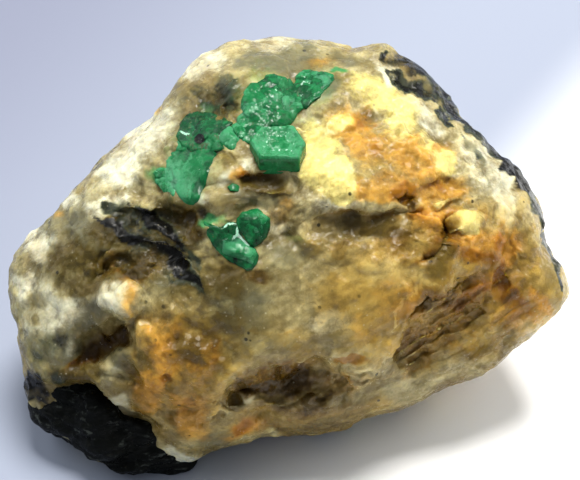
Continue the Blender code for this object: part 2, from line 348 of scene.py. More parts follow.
@dataclass
class Lump:
    """A rounded body with a given outline on the show face, cut by flat facets.

    In each map direction the radius is a power mean of the rounded body and of every facet's
    plane, so edges between them are softly rounded. The widest ring is then stretched back out to
    the outline.
    """

    outline: Sequence[GridPoint]
    facets: Sequence[Facet]
    front: float
    back: float
    centre: GridPoint = GRID_MIDDLE
    base: float = 0.0
    profile: float = 2.3
    edge: float = 13.0
    round_outline: bool = True
    curve_steps: int = 12
    bearings: int = 360
    rises: int = 151

    def outline_radius(self, bearing: Array) -> Array:
        """Distance of the outline from the centre at each bearing, in mm."""
        points = on_grid(self.outline) - on_grid([self.centre])
        steps = np.linspace(0.0, 1.0, self.curve_steps, endpoint=False)[:, None, None]
        before, after, later = (np.roll(points, shift, axis=0) for shift in (1, -1, -2))
        if self.round_outline:
            curve = 0.5 * (2.0 * points + (after - before) * steps
                           + (2.0 * before - 5.0 * points + 4.0 * after - later) * steps ** 2
                           + (3.0 * points - before - 3.0 * after + later) * steps ** 3)
        else:
            curve = points + (after - points) * steps
        curve = curve.reshape(-1, 2)
        angle = np.arctan2(curve[:, 1], curve[:, 0])
        order = np.argsort(angle)
        radius = np.hypot(curve[:, 0], curve[:, 1])
        return np.interp(bearing, angle[order], radius[order], period=2.0 * math.pi)

    def radius(self, direction: Array) -> Array:
        """Radius of the body in map directions from its centre, in mm."""
        bearing = np.arctan2(direction[:, 1], direction[:, 0])
        across = np.hypot(direction[:, 0], direction[:, 1]) / self.outline_radius(bearing)
        height = np.where(direction[:, 2] > 0.0, self.front, self.back)
        total = across ** self.profile + (np.abs(direction[:, 2]) / height) ** self.profile
        total = total ** (self.edge / self.profile)
        middle = on_grid([self.centre])[0]
        for facet in self.facets:
            normal = np.array(facet.looks) / np.linalg.norm(facet.looks)
            point = np.array([*(on_grid([(facet.x, facet.y)])[0] - middle), facet.w])
            total += np.maximum(direction @ normal / (point @ normal), 0.0) ** self.edge
        return total ** (-1.0 / self.edge)

    def stretch(self, bearing: Array) -> Array:
        """Factor that brings the widest ring out to the outline at each bearing."""
        turns = np.linspace(-math.pi, math.pi, self.bearings, endpoint=False)
        turn, rise = np.meshgrid(turns, np.linspace(-1.5, 1.5, self.rises), indexing="ij")
        rays = np.stack([np.cos(turn) * np.cos(rise), np.sin(turn) * np.cos(rise), np.sin(rise)], -1)
        widest = (self.radius(rays.reshape(-1, 3)).reshape(turn.shape) * np.cos(rise)).max(axis=1)
        return np.interp(bearing, turns, self.outline_radius(turns) / widest, period=2.0 * math.pi)

    def surface(self, direction: Array) -> Array:
        """Map places of the body's surface in the given directions from its centre."""
        mapped = direction * self.radius(direction)[:, None]
        mapped[:, :2] *= self.stretch(np.arctan2(mapped[:, 1], mapped[:, 0]))[:, None]
        return mapped + [*on_grid([self.centre])[0], self.base]


class Patch(NamedTuple):
    """A soft-edged oval on the grid: middle, half sizes, turn in degrees and amount."""

    x: float
    y: float
    half_x: float
    half_y: float
    turn: float
    amount: float
    soft: float = 1.3

    def cover(self, places: Array) -> Array:
        """Share from 0 to 1 of the patch at each map place, 1 inside."""
        along, across = ways(self.turn)
        offset = (places - on_grid([(self.x, self.y)])[0]) / GRID
        reach = np.hypot(offset @ along / self.half_x, offset @ across / self.half_y)
        return ease(1.0 + 0.5 * self.soft, 1.0 - 0.5 * self.soft, reach)


@dataclass(frozen=True)
class Line:
    """A line over the grid."""

    points: tuple[GridPoint, ...]

    def measure(self, places: Array) -> tuple[Array, Array]:
        """Signed distance in mm, + above a line drawn to the right, and the share along it."""
        line = on_grid(self.points)
        legs = np.diff(line, axis=0)
        lengths = np.linalg.norm(legs, axis=1)
        starts = np.concatenate([[0.0], np.cumsum(lengths)])
        best, share = np.full(len(places), np.inf), np.zeros(len(places))
        for index, leg in enumerate(legs):
            offset = places - line[index]
            along = np.clip(offset @ leg / lengths[index] ** 2, 0.0, 1.0)
            miss = np.linalg.norm(offset - along[:, None] * leg, axis=1)
            side = np.where(leg[0] * offset[:, 1] - leg[1] * offset[:, 0] < 0.0, -1.0, 1.0)
            nearer = miss < np.abs(best)
            best = np.where(nearer, miss * side, best)
            share = np.where(nearer, (starts[index] + along * lengths[index]) / starts[-1], share)
        return best, share


@dataclass(frozen=True)
class Streak(Line):
    """A band of a mineral along a line: its half width in squares and its amount."""

    half_width: float = 3.0
    amount: float = 1.0

    def cover(self, places: Array) -> Array:
        """Share from 0 to 1 of the band at each map place, thinning towards both ends."""
        distance, share = self.measure(places)
        ends = 0.35 + 0.65 * ease(0.0, 0.2, share) * ease(1.0, 0.8, share)
        return ease(1.35, 0.65, np.abs(distance) / (self.half_width * GRID * ends))


@dataclass(frozen=True)
class Ledge(Line):
    """A lip: below its line the stone drops within the brink and comes back over fade, in mm."""

    drop: float = 1.0
    fade: float = 3.0
    brink: float = 0.5
    taper: float = 0.15

    def depth(self, places: Array) -> Array:
        """Depth in mm below the body at each map place."""
        distance, share = self.measure(places)
        ends = ease(0.0, self.taper, share) * ease(1.0, 1.0 - self.taper, share)
        below = np.maximum(-distance, 0.0)
        return self.drop * ends * ease(0.15, -self.brink, distance) * np.exp(-(below / self.fade) ** 1.4)


def drift(places: Array, moves: Iterable[tuple[float, float]], seed: int) -> Array:
    """Map places moved about by noise, so that drawn edges come out natural.

    Args:
        places: map places (s, t) in mm.
        moves: pairs of how far to move and how coarse the noise is, in mm.
        seed: the noise's seed.

    Returns:
        The moved places.
    """
    moved = places.copy()
    for step, (reach, size) in enumerate(moves):
        flat = np.column_stack([moved / size, np.zeros(len(places))])
        shift = [fractal(flat + APART * axis, 2, seed + 7 * step + axis) for axis in (0, 1)]
        moved = moved + reach * np.column_stack(shift)
    return moved


# ---- shader maths
class Value:
    """A shader socket that takes part in Python sums, differences and products."""

    def __init__(self, tree: bpy.types.NodeTree, socket: bpy.types.NodeSocket) -> None:
        """Keep the tree that the socket belongs to."""
        self.tree = tree
        self.socket = socket

    def math(self, operation: str, *others: Value | float) -> Value:
        """A Math node on this value and the others."""
        node = self.tree.nodes.new("ShaderNodeMath")
        node.operation = operation
        for index, item in enumerate((self, *others)):
            plug(self.tree, node.inputs[index], item)
        return Value(self.tree, node.outputs[0])

    def __add__(self, other: Value | float) -> Value:
        """Sum."""
        return self.math("ADD", other)

    def __sub__(self, other: Value | float) -> Value:
        """Difference."""
        return self.math("SUBTRACT", other)

    def __mul__(self, other: Value | float) -> Value:
        """Product."""
        return self.math("MULTIPLY", other)

    __radd__ = __add__
    __rmul__ = __mul__

    def __rsub__(self, other: float) -> Value:
        """Reflected difference, such as 1 - mask."""
        return self.math("MULTIPLY_ADD", -1.0, other)

    def clamp(self) -> Value:
        """The value held between 0 and 1."""
        return self.math("MAXIMUM", 0.0).math("MINIMUM", 1.0)

    def step(self, low: float, high: float) -> Value:
        """Smooth step from 0 at low to 1 at high."""
        node = self.tree.nodes.new("ShaderNodeMapRange")
        node.interpolation_type = "SMOOTHSTEP"
        plug(self.tree, node.inputs["Value"], self)
        flipped = low > high
        node.inputs["From Min"].default_value = min(low, high)
        node.inputs["From Max"].default_value = max(low, high)
        node.inputs["To Min"].default_value = 1.0 if flipped else 0.0
        node.inputs["To Max"].default_value = 0.0 if flipped else 1.0
        return Value(self.tree, node.outputs[0])


def plug(tree: bpy.types.NodeTree, target: bpy.types.NodeSocket, item: object) -> None:
    """Link a value to a socket, or set the socket to a plain number or colour."""
    if isinstance(item, Value):
        tree.links.new(item.socket, target)
    else:
        target.default_value = item


class Recipe:
    """A material under construction, with short ways to add its nodes."""

    def __init__(self, name: str) -> None:
        """Start a material that has only a Principled shader and its output."""
        self.material = bpy.data.materials.new(name)
        self.material.use_nodes = True
        self.tree = self.material.node_tree
        self.shader = self.tree.nodes["Principled BSDF"]
        self.place = self.node("ShaderNodeTexCoord", {}, {}, "Object")

    def node(self, kind: str, settings: dict, inputs: dict, output: int | str = 0) -> Value:
        """Any node: its settings are set first, then its sockets."""
        node = self.tree.nodes.new(kind)
        for key, setting in settings.items():
            setattr(node, key, setting)
        for key, item in inputs.items():
            plug(self.tree, node.inputs[key], item)
        return Value(self.tree, node.outputs[output])

    def vector(self, operation: str, *items: object, output: int | str = 0) -> Value:
        """A Vector Math node on values and plain vectors."""
        return self.node("ShaderNodeVectorMath", {"operation": operation}, dict(enumerate(items)), output)

    def noise(self, size: float, detail: float = 3.0, rough: float = 0.55, warp: float = 0.0) -> Value:
        """Noise of the given feature size in mm."""
        return self.node("ShaderNodeTexNoise", {}, {
            "Vector": self.place, "Scale": 1.0 / (size * MM), "Detail": detail,
            "Roughness": rough, "Distortion": warp})

    def cells(self, size: float) -> Value:
        """Way from the middle of Voronoi cells of the given size in mm."""
        return self.node("ShaderNodeTexVoronoi", {}, {"Vector": self.place, "Scale": 1.0 / (size * MM)})

    def chips(self, size: float) -> Value:
        """Height in mm of tilted chips: a random slope up to a half for each Voronoi cell."""
        voronoi = self.tree.nodes.new("ShaderNodeTexVoronoi")
        plug(self.tree, voronoi.inputs["Vector"], self.place)
        voronoi.inputs["Scale"].default_value = 1.0 / (size * MM)
        away = self.vector("SUBTRACT", self.place, Value(self.tree, voronoi.outputs["Position"]))
        slope = self.vector("SUBTRACT", Value(self.tree, voronoi.outputs["Color"]), (0.5, 0.5, 0.5))
        return self.vector("DOT_PRODUCT", away, slope, output="Value") * (1.0 / MM)

    def cracks(self, size: float, width: float, bend: float = 0.5) -> Value:
        """1 on thin lines between cells of the given size in mm, bent by noise."""
        sway = self.node("ShaderNodeTexNoise", {}, {
            "Vector": self.place, "Scale": 0.8 / (size * MM), "Detail": 3.0}, "Color")
        moved = self.vector("MULTIPLY_ADD", sway, (bend * size * MM,) * 3, self.place)
        edge = self.node("ShaderNodeTexVoronoi", {"feature": "DISTANCE_TO_EDGE"}, {
            "Vector": moved, "Scale": 1.0 / (size * MM)})
        return edge.step(width / size, 0.0)

    def mark(self, name: str) -> Value:
        """A value stored on the mesh."""
        return self.node("ShaderNodeAttribute", {"attribute_name": name}, {}, "Fac")

    def mix(self, factor: Value | float, first: object, second: object, blend: str = "MIX") -> Value:
        """Blend of two colours."""
        return self.node("ShaderNodeMix", {"data_type": "RGBA", "blend_type": blend},
                         {0: factor, 6: colour(first), 7: colour(second)}, 2)

    def times(self, first: object, second: object) -> Value:
        """Product of two colours."""
        return self.mix(1.0, first, second, "MULTIPLY")

    def bump(self, height: Value, reach: float, strength: float = 1.0) -> Value:
        """A Bump node whose height of 1 stands for reach mm."""
        return self.node("ShaderNodeBump", {}, {
            "Height": height, "Strength": strength, "Distance": reach * MM})

    def finish(self, **sockets: object) -> Material:
        """Set the shader's sockets, named with _ for a space, and return the material."""
        for name, item in sockets.items():
            plug(self.tree, self.shader.inputs[name.replace("_", " ")], item)
        return self.material


def colour(item: object) -> object:
    """A colour of three parts with full alpha added. Anything else is passed on."""
    if isinstance(item, tuple) and len(item) == 3:
        return (*item, 1.0)
    return item


class Mineral(str, Enum):
    """What covers a zone of the stone. Each is a mark on the mesh and a tint in the finish. The umber and
    the dark brown-grey zones are partly painted shade.
    """

    SMOKE = "smoke"
    CHALK = "chalk"
    PRIMROSE = "primrose"
    OCHRE = "ochre"
    RUST = "rust"
    # Dark brown: stain in cavities, and painted shade in the crevice and under the crystal.
    UMBER_AND_SHADE = "umber_and_shade"
    MOSS = "moss"
    SCHIST = "schist"
    GREEN = "green"
    HONEY = "honey"
    # Dark brown-grey: painted shade in recesses and grooves, and dark rock about the veins.
    SHADE_AND_DARK_ROCK = "shade_and_dark_rock"


def ovals(*rows: tuple[float, ...]) -> tuple[Patch, ...]:
    """Patches, each from a row of its numbers."""
    return tuple(Patch(*row) for row in rows)


def bands(*rows: tuple[tuple[GridPoint, ...], float, float]) -> tuple[Streak, ...]:
    """Streaks, each from a row of its points, half width and amount."""
    return tuple(Streak(*row) for row in rows)


def strongest(zones: Iterable[Patch | Streak], places: Array) -> Array:
    """The greatest of the zones' covers at each map place."""
    return np.max([zone.amount * zone.cover(places) for zone in zones], axis=0)


def added(zones: Iterable[Patch | Streak], places: Array) -> Array:
    """The sum of the zones' covers at each map place."""
    return sum(zone.amount * zone.cover(places) for zone in zones)


# ---- the stone, drawn on the grid
# Each oval: middle x, y, half sizes, turn in degrees, amount and, if given, softness of its edge.
STONE_OUTLINE = (
    (566, 284), (561, 299), (546, 316), (521, 344), (484, 372), (440, 388), (387, 414), (333, 431),
    (271, 439), (213, 447), (182, 464), (143, 470), (97, 456), (58, 431), (34, 410), (23, 367), (11, 300),
    (23, 255), (58, 211), (106, 151), (155, 112), (182, 77), (209, 49), (263, 40), (309, 46), (379, 48),
    (397, 59), (415, 69), (433, 83), (451, 100), (469, 118), (487, 135), (500, 152), (509, 160), (520, 172),
    (528, 188), (537, 203), (545, 222), (553, 248), (561, 264))
STONE_FACETS = (
    Facet(345, 150, 9.6, (0.10, 0.62, 0.78)),  # plateau
    Facet(310, 290, 11.6, (0.02, -0.22, 0.97)),  # broad front
    Facet(100, 205, 4.6, (-0.58, 0.42, 0.70)),  # left slope
    Facet(130, 320, 7.4, (-0.42, -0.20, 0.88)),  # lower left
    Facet(150, 410, 5.6, (-0.40, -0.62, 0.68)),  # left foot
    Facet(465, 330, 5.2, (0.42, -0.52, 0.74)),  # lower right
    Facet(515, 225, 4.2, (0.74, 0.22, 0.63)),  # right rim
    Facet(440, 95, 4.2, (0.50, 0.66, 0.56)),  # upper right rim
    Facet(290, 60, 3.4, (-0.05, 0.86, 0.50)),  # top rim
    Facet(200, 80, 4.4, (-0.55, 0.62, 0.56)),  # top left corner
    Facet(320, 415, 4.4, (0.05, -0.86, 0.52)),  # bottom lip
    Facet(450, 220, 9.0, (0.36, 0.10, 0.93)),  # right shoulder
    Facet(220, 200, 11.2, (-0.22, 0.18, 0.96)),  # left shoulder
    Facet(290, 240, -17.5, (0.05, 0.10, -0.99)),
    Facet(420, 160, -9.0, (0.55, 0.45, -0.70)),
    Facet(160, 170, -9.0, (-0.50, 0.50, -0.70)),
    Facet(480, 290, -8.0, (0.80, -0.25, -0.55)),
    Facet(80, 300, -8.0, (-0.80, -0.10, -0.59)),
    Facet(290, 60, -8.0, (0.0, 0.86, -0.50)))
# The slab's outer edge, the schist band along its top and the short band that carries it on.
RIM = (
    (384, 51), (396, 62), (413, 72), (431, 86), (449, 102), (467, 120), (485, 137), (498, 153), (510, 166),
    (521, 182), (534, 204), (544, 229), (554, 257), (563, 280))
RIM_BAND = ((388, 70), (398, 80), (410, 90), (425, 95), (441, 101))
RIM_TAIL = ((440, 104), (448, 112), (458, 126))
# The arc under which the slab breaks off; its grooves start there.
ARC = Ledge(
    ((383, 366), (392, 350), (400, 335), (404, 318), (412, 303), (425, 290), (440, 283), (458, 276),
     (482, 272)), 1.5, 6.0, 0.22)
LEDGES = (
    Ledge(((298, 206), (330, 209), (360, 211), (390, 211), (412, 206), (446, 208)), 1.0, 4.5, 0.4, 0.45),
    Ledge(((216, 404), (235, 385), (250, 374), (275, 371), (300, 366), (330, 362), (358, 357)), 2.4, 3.4),
    ARC,
    Ledge(((150, 412), (142, 390), (140, 365), (138, 340), (137, 318)), -0.9, 3.0),
    Ledge(((84, 300), (92, 262), (112, 240), (140, 238), (170, 250), (192, 272), (207, 300)), 0.7, 2.6),
    Ledge(((112, 208), (132, 208), (160, 214), (190, 212), (200, 222)), 0.9, 2.4))
# Ovals that lie deeper than the body by their amount in mm; a minus stands out.
HOLLOWS = ovals(
    (103, 343, 38, 15, 34, 2.2, 1.0), (118, 266, 18, 9, 24, 1.0, 1.0), (438, 184, 17, 8, 8, 0.7, 1.0),
    (404, 198, 10, 4, 0, 0.7, 1.0), (444, 234, 8, 15, -12, 1.4, 1.0), (430, 256, 10, 6, 20, 0.7, 1.0),
    (501, 286, 6, 14, 8, 0.45, 1.0), (509, 252, 5, 12, 10, 0.6, 1.0), (285, 386, 46, 13, 4, 1.4, 1.2),
    (240, 388, 12, 12, 40, 0.7, 1.2), (264, 180, 24, 6, -5, 0.7, 1.0), (176, 222, 24, 12, -28, 0.8, 1.0),
    (212, 106, 22, 16, -10, 0.5, 1.4), (232, 112, 7, 12, 0, 0.8, 1.0), (467, 222, 12, 7, -8, -0.35, 1.2),
    (441, 203, 10, 4, 10, -0.5, 1.0), (221, 173, 15, 11, -10, -0.8, 1.4), (223, 200, 24, 12, 5, -0.8, 1.4),
    (112, 300, 26, 20, -15, -0.9, 1.0), (52, 310, 24, 34, -12, -0.6, 1.2), (246, 394, 8, 7, 0, -0.9, 1.2),
    (288, 418, 12, 9, 0, -0.4, 1.4), (232, 414, 14, 8, 0, -0.4, 1.4), (325, 412, 14, 9, 0, -0.3, 1.4),
    (378, 268, 22, 13, 10, -0.5, 1.4), (345, 230, 30, 10, 0, 0.4, 1.4), (98, 424, 74, 33, -27, 4.5, 0.3))
# What covers the show face, mineral by mineral, with painted shade among the dark zones.
ZONES: dict[Mineral, tuple[Patch | Streak, ...]] = {
    Mineral.CHALK: ovals(
        (408, 277, 28, 13, 10, 0.8), (330, 323, 24, 13, 0, 0.7), (276, 226, 18, 11, 0, 0.7),
        (276, 204, 14, 9, 0, 0.5), (374, 276, 20, 10, 0, 0.4), (515, 240, 10, 18, 10, 0.5),
        (300, 190, 16, 14, 0, 0.4), (110, 206, 18, 10, 30, 0.9), (334, 204, 28, 7, 0, 0.6),
        (72, 196, 22, 9, -48, 0.7), (34, 236, 10, 12, 30, 0.7), (290, 42, 50, 8, 0, 0.6),
        (150, 132, 36, 22, 38, 0.9), (120, 165, 24, 20, 48, 1.0), (200, 62, 26, 17, 30, 0.8),
        (95, 200, 26, 15, 40, 0.3), (42, 250, 17, 14, 50, 0.85), (56, 304, 30, 24, 0, 0.9),
        (36, 325, 16, 26, 0, 0.5), (112, 296, 26, 12, -10, 0.75), (424, 116, 28, 10, -32, 0.8),
        (482, 165, 40, 22, -50, 0.6), (501, 200, 11, 34, 12, 1.0), (533, 235, 8, 22, 22, 0.6),
        (178, 452, 17, 6, -24, 0.9), (122, 404, 20, 6, -32, 0.9), (246, 394, 8, 7, 0, 0.8),
        (110, 378, 14, 10, -20, 0.6), (388, 72, 9, 20, 12, 0.8), (225, 174, 13, 9, 10, 0.7),
        (206, 196, 12, 8, 60, 0.7), (250, 162, 10, 7, 0, 0.6), (385, 265, 24, 12, 8, 0.8),
        (310, 115, 12, 8, 0, 0.6), (25, 290, 10, 16, 0, 0.9), (60, 345, 18, 8, 10, 0.5)) + bands(
        (((389, 330), (396, 313), (405, 299), (419, 287), (438, 279)), 1.8, 0.7),
        (((428, 324), (452, 310), (478, 298), (502, 284)), 2.4, 0.55),
        (((418, 354), (450, 341), (482, 327), (512, 308)), 3.0, 0.5),
        (((440, 373), (470, 361), (500, 345)), 3.0, 0.45)),
    Mineral.SMOKE: ovals(
        (68, 280, 56, 90, -12, 0.75, 0.9), (140, 140, 60, 44, 42, 0.6, 1.0), (85, 235, 26, 22, 20, 0.9),
        (60, 270, 24, 8, 0, 0.8), (275, 60, 44, 16, 0, 1.0), (350, 60, 30, 10, -5, 0.6),
        (330, 92, 12, 9, 20, 1.0), (255, 195, 35, 14, 0, 0.8), (285, 250, 28, 22, 0, 0.7),
        (235, 320, 42, 34, 0, 0.9), (230, 290, 30, 16, 0, 1.0), (350, 228, 40, 12, 0, 0.8),
        (70, 335, 14, 30, 10, 0.8), (320, 415, 60, 14, 8, 0.9), (215, 432, 26, 8, 10, 0.8),
        (170, 282, 22, 12, -20, 0.8), (120, 365, 12, 22, 10, 0.7), (545, 262, 10, 30, 20, 0.7),
        (170, 205, 24, 10, 0, 0.7), (190, 235, 20, 12, 0, 0.8), (270, 345, 30, 20, 0, 0.5),
        (384, 83, 24, 10, 0, 0.5), (108, 178, 12, 9, 0, 0.7)),
    Mineral.PRIMROSE: ovals(
        (320, 150, 17, 32, 4, 1.1), (336, 178, 24, 20, -10, 1.1), (372, 96, 34, 14, -16, 0.85),
        (402, 122, 18, 22, -35, 0.9), (441, 160, 14, 12, 10, 0.9), (466, 224, 15, 8, -8, 1.5),
        (340, 196, 12, 8, 0, 0.8), (443, 204, 9, 4, 0, 0.8), (425, 140, 10, 10, 0, 0.7),
        (335, 125, 26, 8, 10, 0.7), (378, 164, 24, 17, 0, 0.5)),
    Mineral.OCHRE: ovals(
        (352, 130, 32, 20, -10, 0.6), (372, 152, 34, 22, -18, 0.75), (408, 160, 34, 24, -20, 0.85),
        (384, 188, 38, 14, 0, 0.8), (432, 152, 20, 14, 0, 0.8), (440, 190, 26, 16, 0, 1.0),
        (432, 216, 26, 14, 0, 0.9), (470, 240, 30, 20, -10, 0.9), (502, 248, 18, 24, 0, 0.9),
        (535, 300, 9, 14, 20, 0.7), (515, 318, 26, 18, 20, 0.45), (492, 290, 30, 20, 10, 0.6),
        (165, 348, 22, 32, 0, 0.65), (150, 392, 16, 26, 6, 0.75), (188, 412, 24, 24, 0, 0.65),
        (200, 360, 18, 26, 0, 0.5), (132, 303, 9, 15, 10, 0.6, 1.8), (112, 264, 14, 12, 0, 0.9),
        (130, 285, 14, 8, 0, 0.6), (330, 332, 60, 24, 12, 0.25), (450, 330, 50, 22, 28, 0.35),
        (400, 300, 26, 26, 0, 0.45), (236, 172, 9, 7, 0, 0.8), (280, 205, 14, 20, 0, 0.5),
        (160, 110, 7, 5, 20, 0.6), (320, 62, 18, 6, 10, 0.5), (245, 428, 26, 9, 5, 0.6),
        (350, 385, 30, 16, 10, 0.4), (420, 370, 30, 14, 28, 0.35), (66, 216, 9, 7, 0, 0.6),
        (75, 358, 10, 6, 20, 0.7)),
    Mineral.RUST: ovals(
        (404, 192, 14, 7, 0, 0.9), (432, 188, 14, 5, 6, 0.6), (408, 210, 16, 7, 0, 0.65),
        (362, 216, 44, 5, -3, 0.45), (446, 236, 14, 18, -10, 1.0), (432, 258, 14, 9, 10, 0.9),
        (478, 262, 22, 9, -10, 0.7), (494, 240, 8, 14, 0, 0.7), (503, 286, 10, 20, 6, 1.0),
        (517, 310, 12, 14, 14, 0.55), (470, 300, 30, 10, 28, 0.6), (440, 300, 30, 9, -30, 0.45),
        (118, 270, 15, 7, 20, 1.0), (166, 377, 8, 5, 0, 0.9), (150, 398, 9, 15, 4, 0.25),
        (178, 344, 12, 8, 0, 0.2), (280, 370, 40, 4, 4, 0.5), (350, 359, 14, 3, 10, 0.8),
        (88, 358, 22, 8, 20, 0.9), (380, 154, 12, 6, -30, 0.5), (365, 118, 14, 9, 0, 0.6),
        (245, 172, 9, 4, 0, 0.8), (242, 426, 12, 5, 0, 0.6), (212, 352, 10, 8, 0, 0.5)),
    # Umber brown: stain in cavities, and painted shade in the crevice, under the hexagonal crystal and along
    # the underside.
    Mineral.UMBER_AND_SHADE: ovals(
        (104, 344, 34, 11, 34, 0.95), (88, 356, 16, 7, 10, 0.9), (280, 384, 44, 9, 4, 0.9),
        (245, 384, 14, 9, 20, 0.7), (318, 397, 20, 4, 4, 0.7), (445, 234, 7, 13, -10, 1.0),
        (428, 254, 8, 5, 0, 0.8), (501, 286, 4, 12, 6, 0.25), (403, 199, 13, 4, 0, 0.9),
        (452, 290, 30, 8, 8, 0.4), (424, 298, 10, 7, 30, 0.35), (122, 268, 9, 3, 20, 0.9),
        (258, 175, 17, 4, 0, 1.0), (180, 216, 22, 7, -12, 0.8), (192, 230, 12, 7, -30, 0.7),
        (285, 404, 40, 8, 4, 0.5), (408, 320, 8, 12, 20, 0.25), (133, 277, 14, 9, 0, 1.2),
        (252, 277, 14, 8, 0, 0.9), (436, 395, 34, 8, 28, 0.5)),
    Mineral.MOSS: ovals(
        (150, 240, 44, 24, 40, 0.7, 1.6), (48, 352, 16, 26, -12, 0.6, 1.6), (62, 372, 20, 12, 20, 0.7, 1.4),
        (196, 292, 18, 12, 40, 0.5, 1.6), (212, 104, 30, 22, -12, 0.95, 1.6),
        (232, 112, 10, 16, 0, 0.95, 1.5), (222, 88, 16, 16, 0, 0.8, 1.5), (165, 188, 14, 12, 0, 0.7),
        (203, 148, 24, 6, -8, 0.7)) + bands(
        (RIM, 6.5, 1.1), (RIM_BAND, 6.5, 1.2), (RIM_TAIL, 5.0, 1.2),
        (((462, 132), (474, 146), (482, 162), (490, 182)), 2.6, 0.6),
        (((110, 206), (130, 214), (148, 228), (166, 250), (184, 272), (202, 294)), 16.0, 0.85)),
    Mineral.HONEY: ovals(
        (440, 285, 125, 78, 12, 0.9, 0.9), (350, 245, 70, 34, 0, 0.5, 1.0), (180, 370, 56, 66, 0, 0.8, 1.0),
        (260, 350, 90, 40, 0, 0.45, 1.0), (305, 418, 95, 16, 4, 0.7, 1.0),
        (515, 240, 22, 50, 10, 0.4, 1.2)),
    # Dark brown-grey: painted shade under the ledges, along the slab's arc and on the underside, and dark
    # rock about the left veins.
    Mineral.SHADE_AND_DARK_ROCK: ovals(
        (518, 178, 8, 22, -28, 0.9), (444, 397, 40, 10, 28, 0.5), (510, 350, 18, 12, 30, 0.6),
        (132, 276, 18, 14, 0, 0.7), (252, 276, 20, 12, 0, 0.6), (204, 152, 24, 8, 0, 0.6),
        (438, 297, 34, 10, -30, 0.5, 1.5), (78, 262, 32, 20, 10, 0.95), (86, 284, 20, 12, 0, 0.9),
        (38, 302, 13, 10, 0, 0.6), (228, 110, 17, 20, 0, 1.1), (252, 80, 16, 9, 0, 0.4),
        (440, 394, 42, 11, 28, 0.4), (480, 352, 26, 13, 30, 0.5), (193, 347, 24, 14, 0, 0.75),
        (372, 247, 13, 7, 0, 0.35), (90, 270, 46, 22, 10, 0.8), (152, 248, 52, 30, 38, 1.0),
        (40, 312, 16, 12, 0, 0.5), (138, 272, 22, 13, 0, 0.95), (118, 226, 30, 14, 30, 0.9),
        (60, 270, 26, 12, 0, 0.6), (216, 356, 26, 14, 0, 0.5), (215, 285, 46, 28, 10, 0.8),
        (250, 275, 26, 16, 0, 0.45), (225, 322, 50, 18, 0, 0.5), (222, 112, 18, 22, 0, 0.7),
        (206, 150, 28, 8, -8, 0.6), (264, 181, 32, 9, 0, 1.0), (232, 206, 16, 12, 0, 0.5),
        (180, 208, 30, 12, -10, 0.8), (75, 375, 28, 16, 0, 0.8), (110, 386, 26, 12, -25, 0.5),
        (374, 226, 42, 11, -8, 0.7, 1.0), (446, 250, 15, 32, -10, 0.9), (424, 302, 16, 10, 30, 0.7),
        (490, 302, 28, 12, 20, 0.5), (300, 396, 62, 14, 3, 0.5), (255, 376, 26, 10, 30, 0.5),
        (320, 426, 62, 10, 5, 0.6), (225, 446, 42, 7, 0, 0.6), (134, 372, 14, 12, 0, 0.7),
        (228, 158, 12, 7, 0, 0.7)),
    Mineral.SCHIST: ovals(
        (118, 226, 20, 12, 40, 0.55, 1.4), (212, 90, 12, 8, 0, 0.45, 1.6), (229, 104, 6, 14, 0, 0.45, 1.6),
        (204, 212, 10, 8, 0, 0.7), (60, 340, 8, 9, 0, 0.8)) + bands(
        (RIM_BAND, 3.6, 0.8), (RIM_TAIL, 2.0, 0.6), (RIM, 3.2, 0.75),
        (((386, 52), (397, 62), (410, 72), (424, 82)), 5.5, 0.9),
        (((124, 203), (134, 209), (148, 218), (160, 228), (172, 242), (178, 252)), 4.5, 1.15),
        (((104, 218), (120, 226), (142, 240), (160, 254), (176, 268), (190, 281), (206, 294)), 5.5, 1.15),
        (((128, 214), (140, 228), (152, 240)), 3.5, 0.8), (((504, 163), (514, 176), (524, 192)), 10.0, 1.5),
        (((88, 168), (98, 160)), 3.5, 0.7), (((56, 208), (72, 196), (88, 172)), 2.6, 0.6),
        (((30, 372), (38, 392), (44, 404)), 9.0, 0.8)),
    Mineral.GREEN: ovals(
        (205, 132, 32, 22, 0, 0.4, 2.0), (250, 133, 10, 9, 0, 1.3, 0.6), (190, 178, 28, 32, 0, 0.45, 2.0),
        (270, 105, 38, 34, 0, 0.5, 2.0), (316, 88, 24, 20, 0, 0.5, 2.0), (238, 236, 34, 28, 30, 0.25, 2.0),
        (292, 233, 10, 7, 0, 0.4, 1.6), (213, 221, 15, 6, -4, 1.0), (160, 174, 12, 6, 10, 0.7),
        (335, 75, 9, 4, 0, 0.9), (208, 112, 14, 8, 0, 0.5), (172, 160, 8, 10, 0, 0.5)),
}
# Smooth and glassy places: pale lobes, the clear grain and the rock around the emeralds.
CALM = ovals(
    (221, 173, 14, 10, 0, 1), (223, 200, 22, 11, 0, 0.8), (330, 92, 11, 8, 0, 1),
    (320, 300, 90, 54, 0, 1.0, 0.8), (272, 103, 30, 28, 0, 1.3, 0.3), (315, 88, 21, 19, 0, 1.3, 0.3),
    (204, 134, 28, 20, 0, 1.3, 0.3), (233, 138, 16, 14, 0, 1.3, 0.3), (188, 180, 30, 28, 0, 1.3, 0.3),
    (238, 246, 24, 24, 0, 1.3, 0.3), (254, 228, 16, 18, 0, 1.3, 0.3), (350, 160, 60, 36, -10, 0.5))
# The slab's grooved field.
GROOVED = Patch(466, 322, 78, 38, 31, 1.0, 0.7)
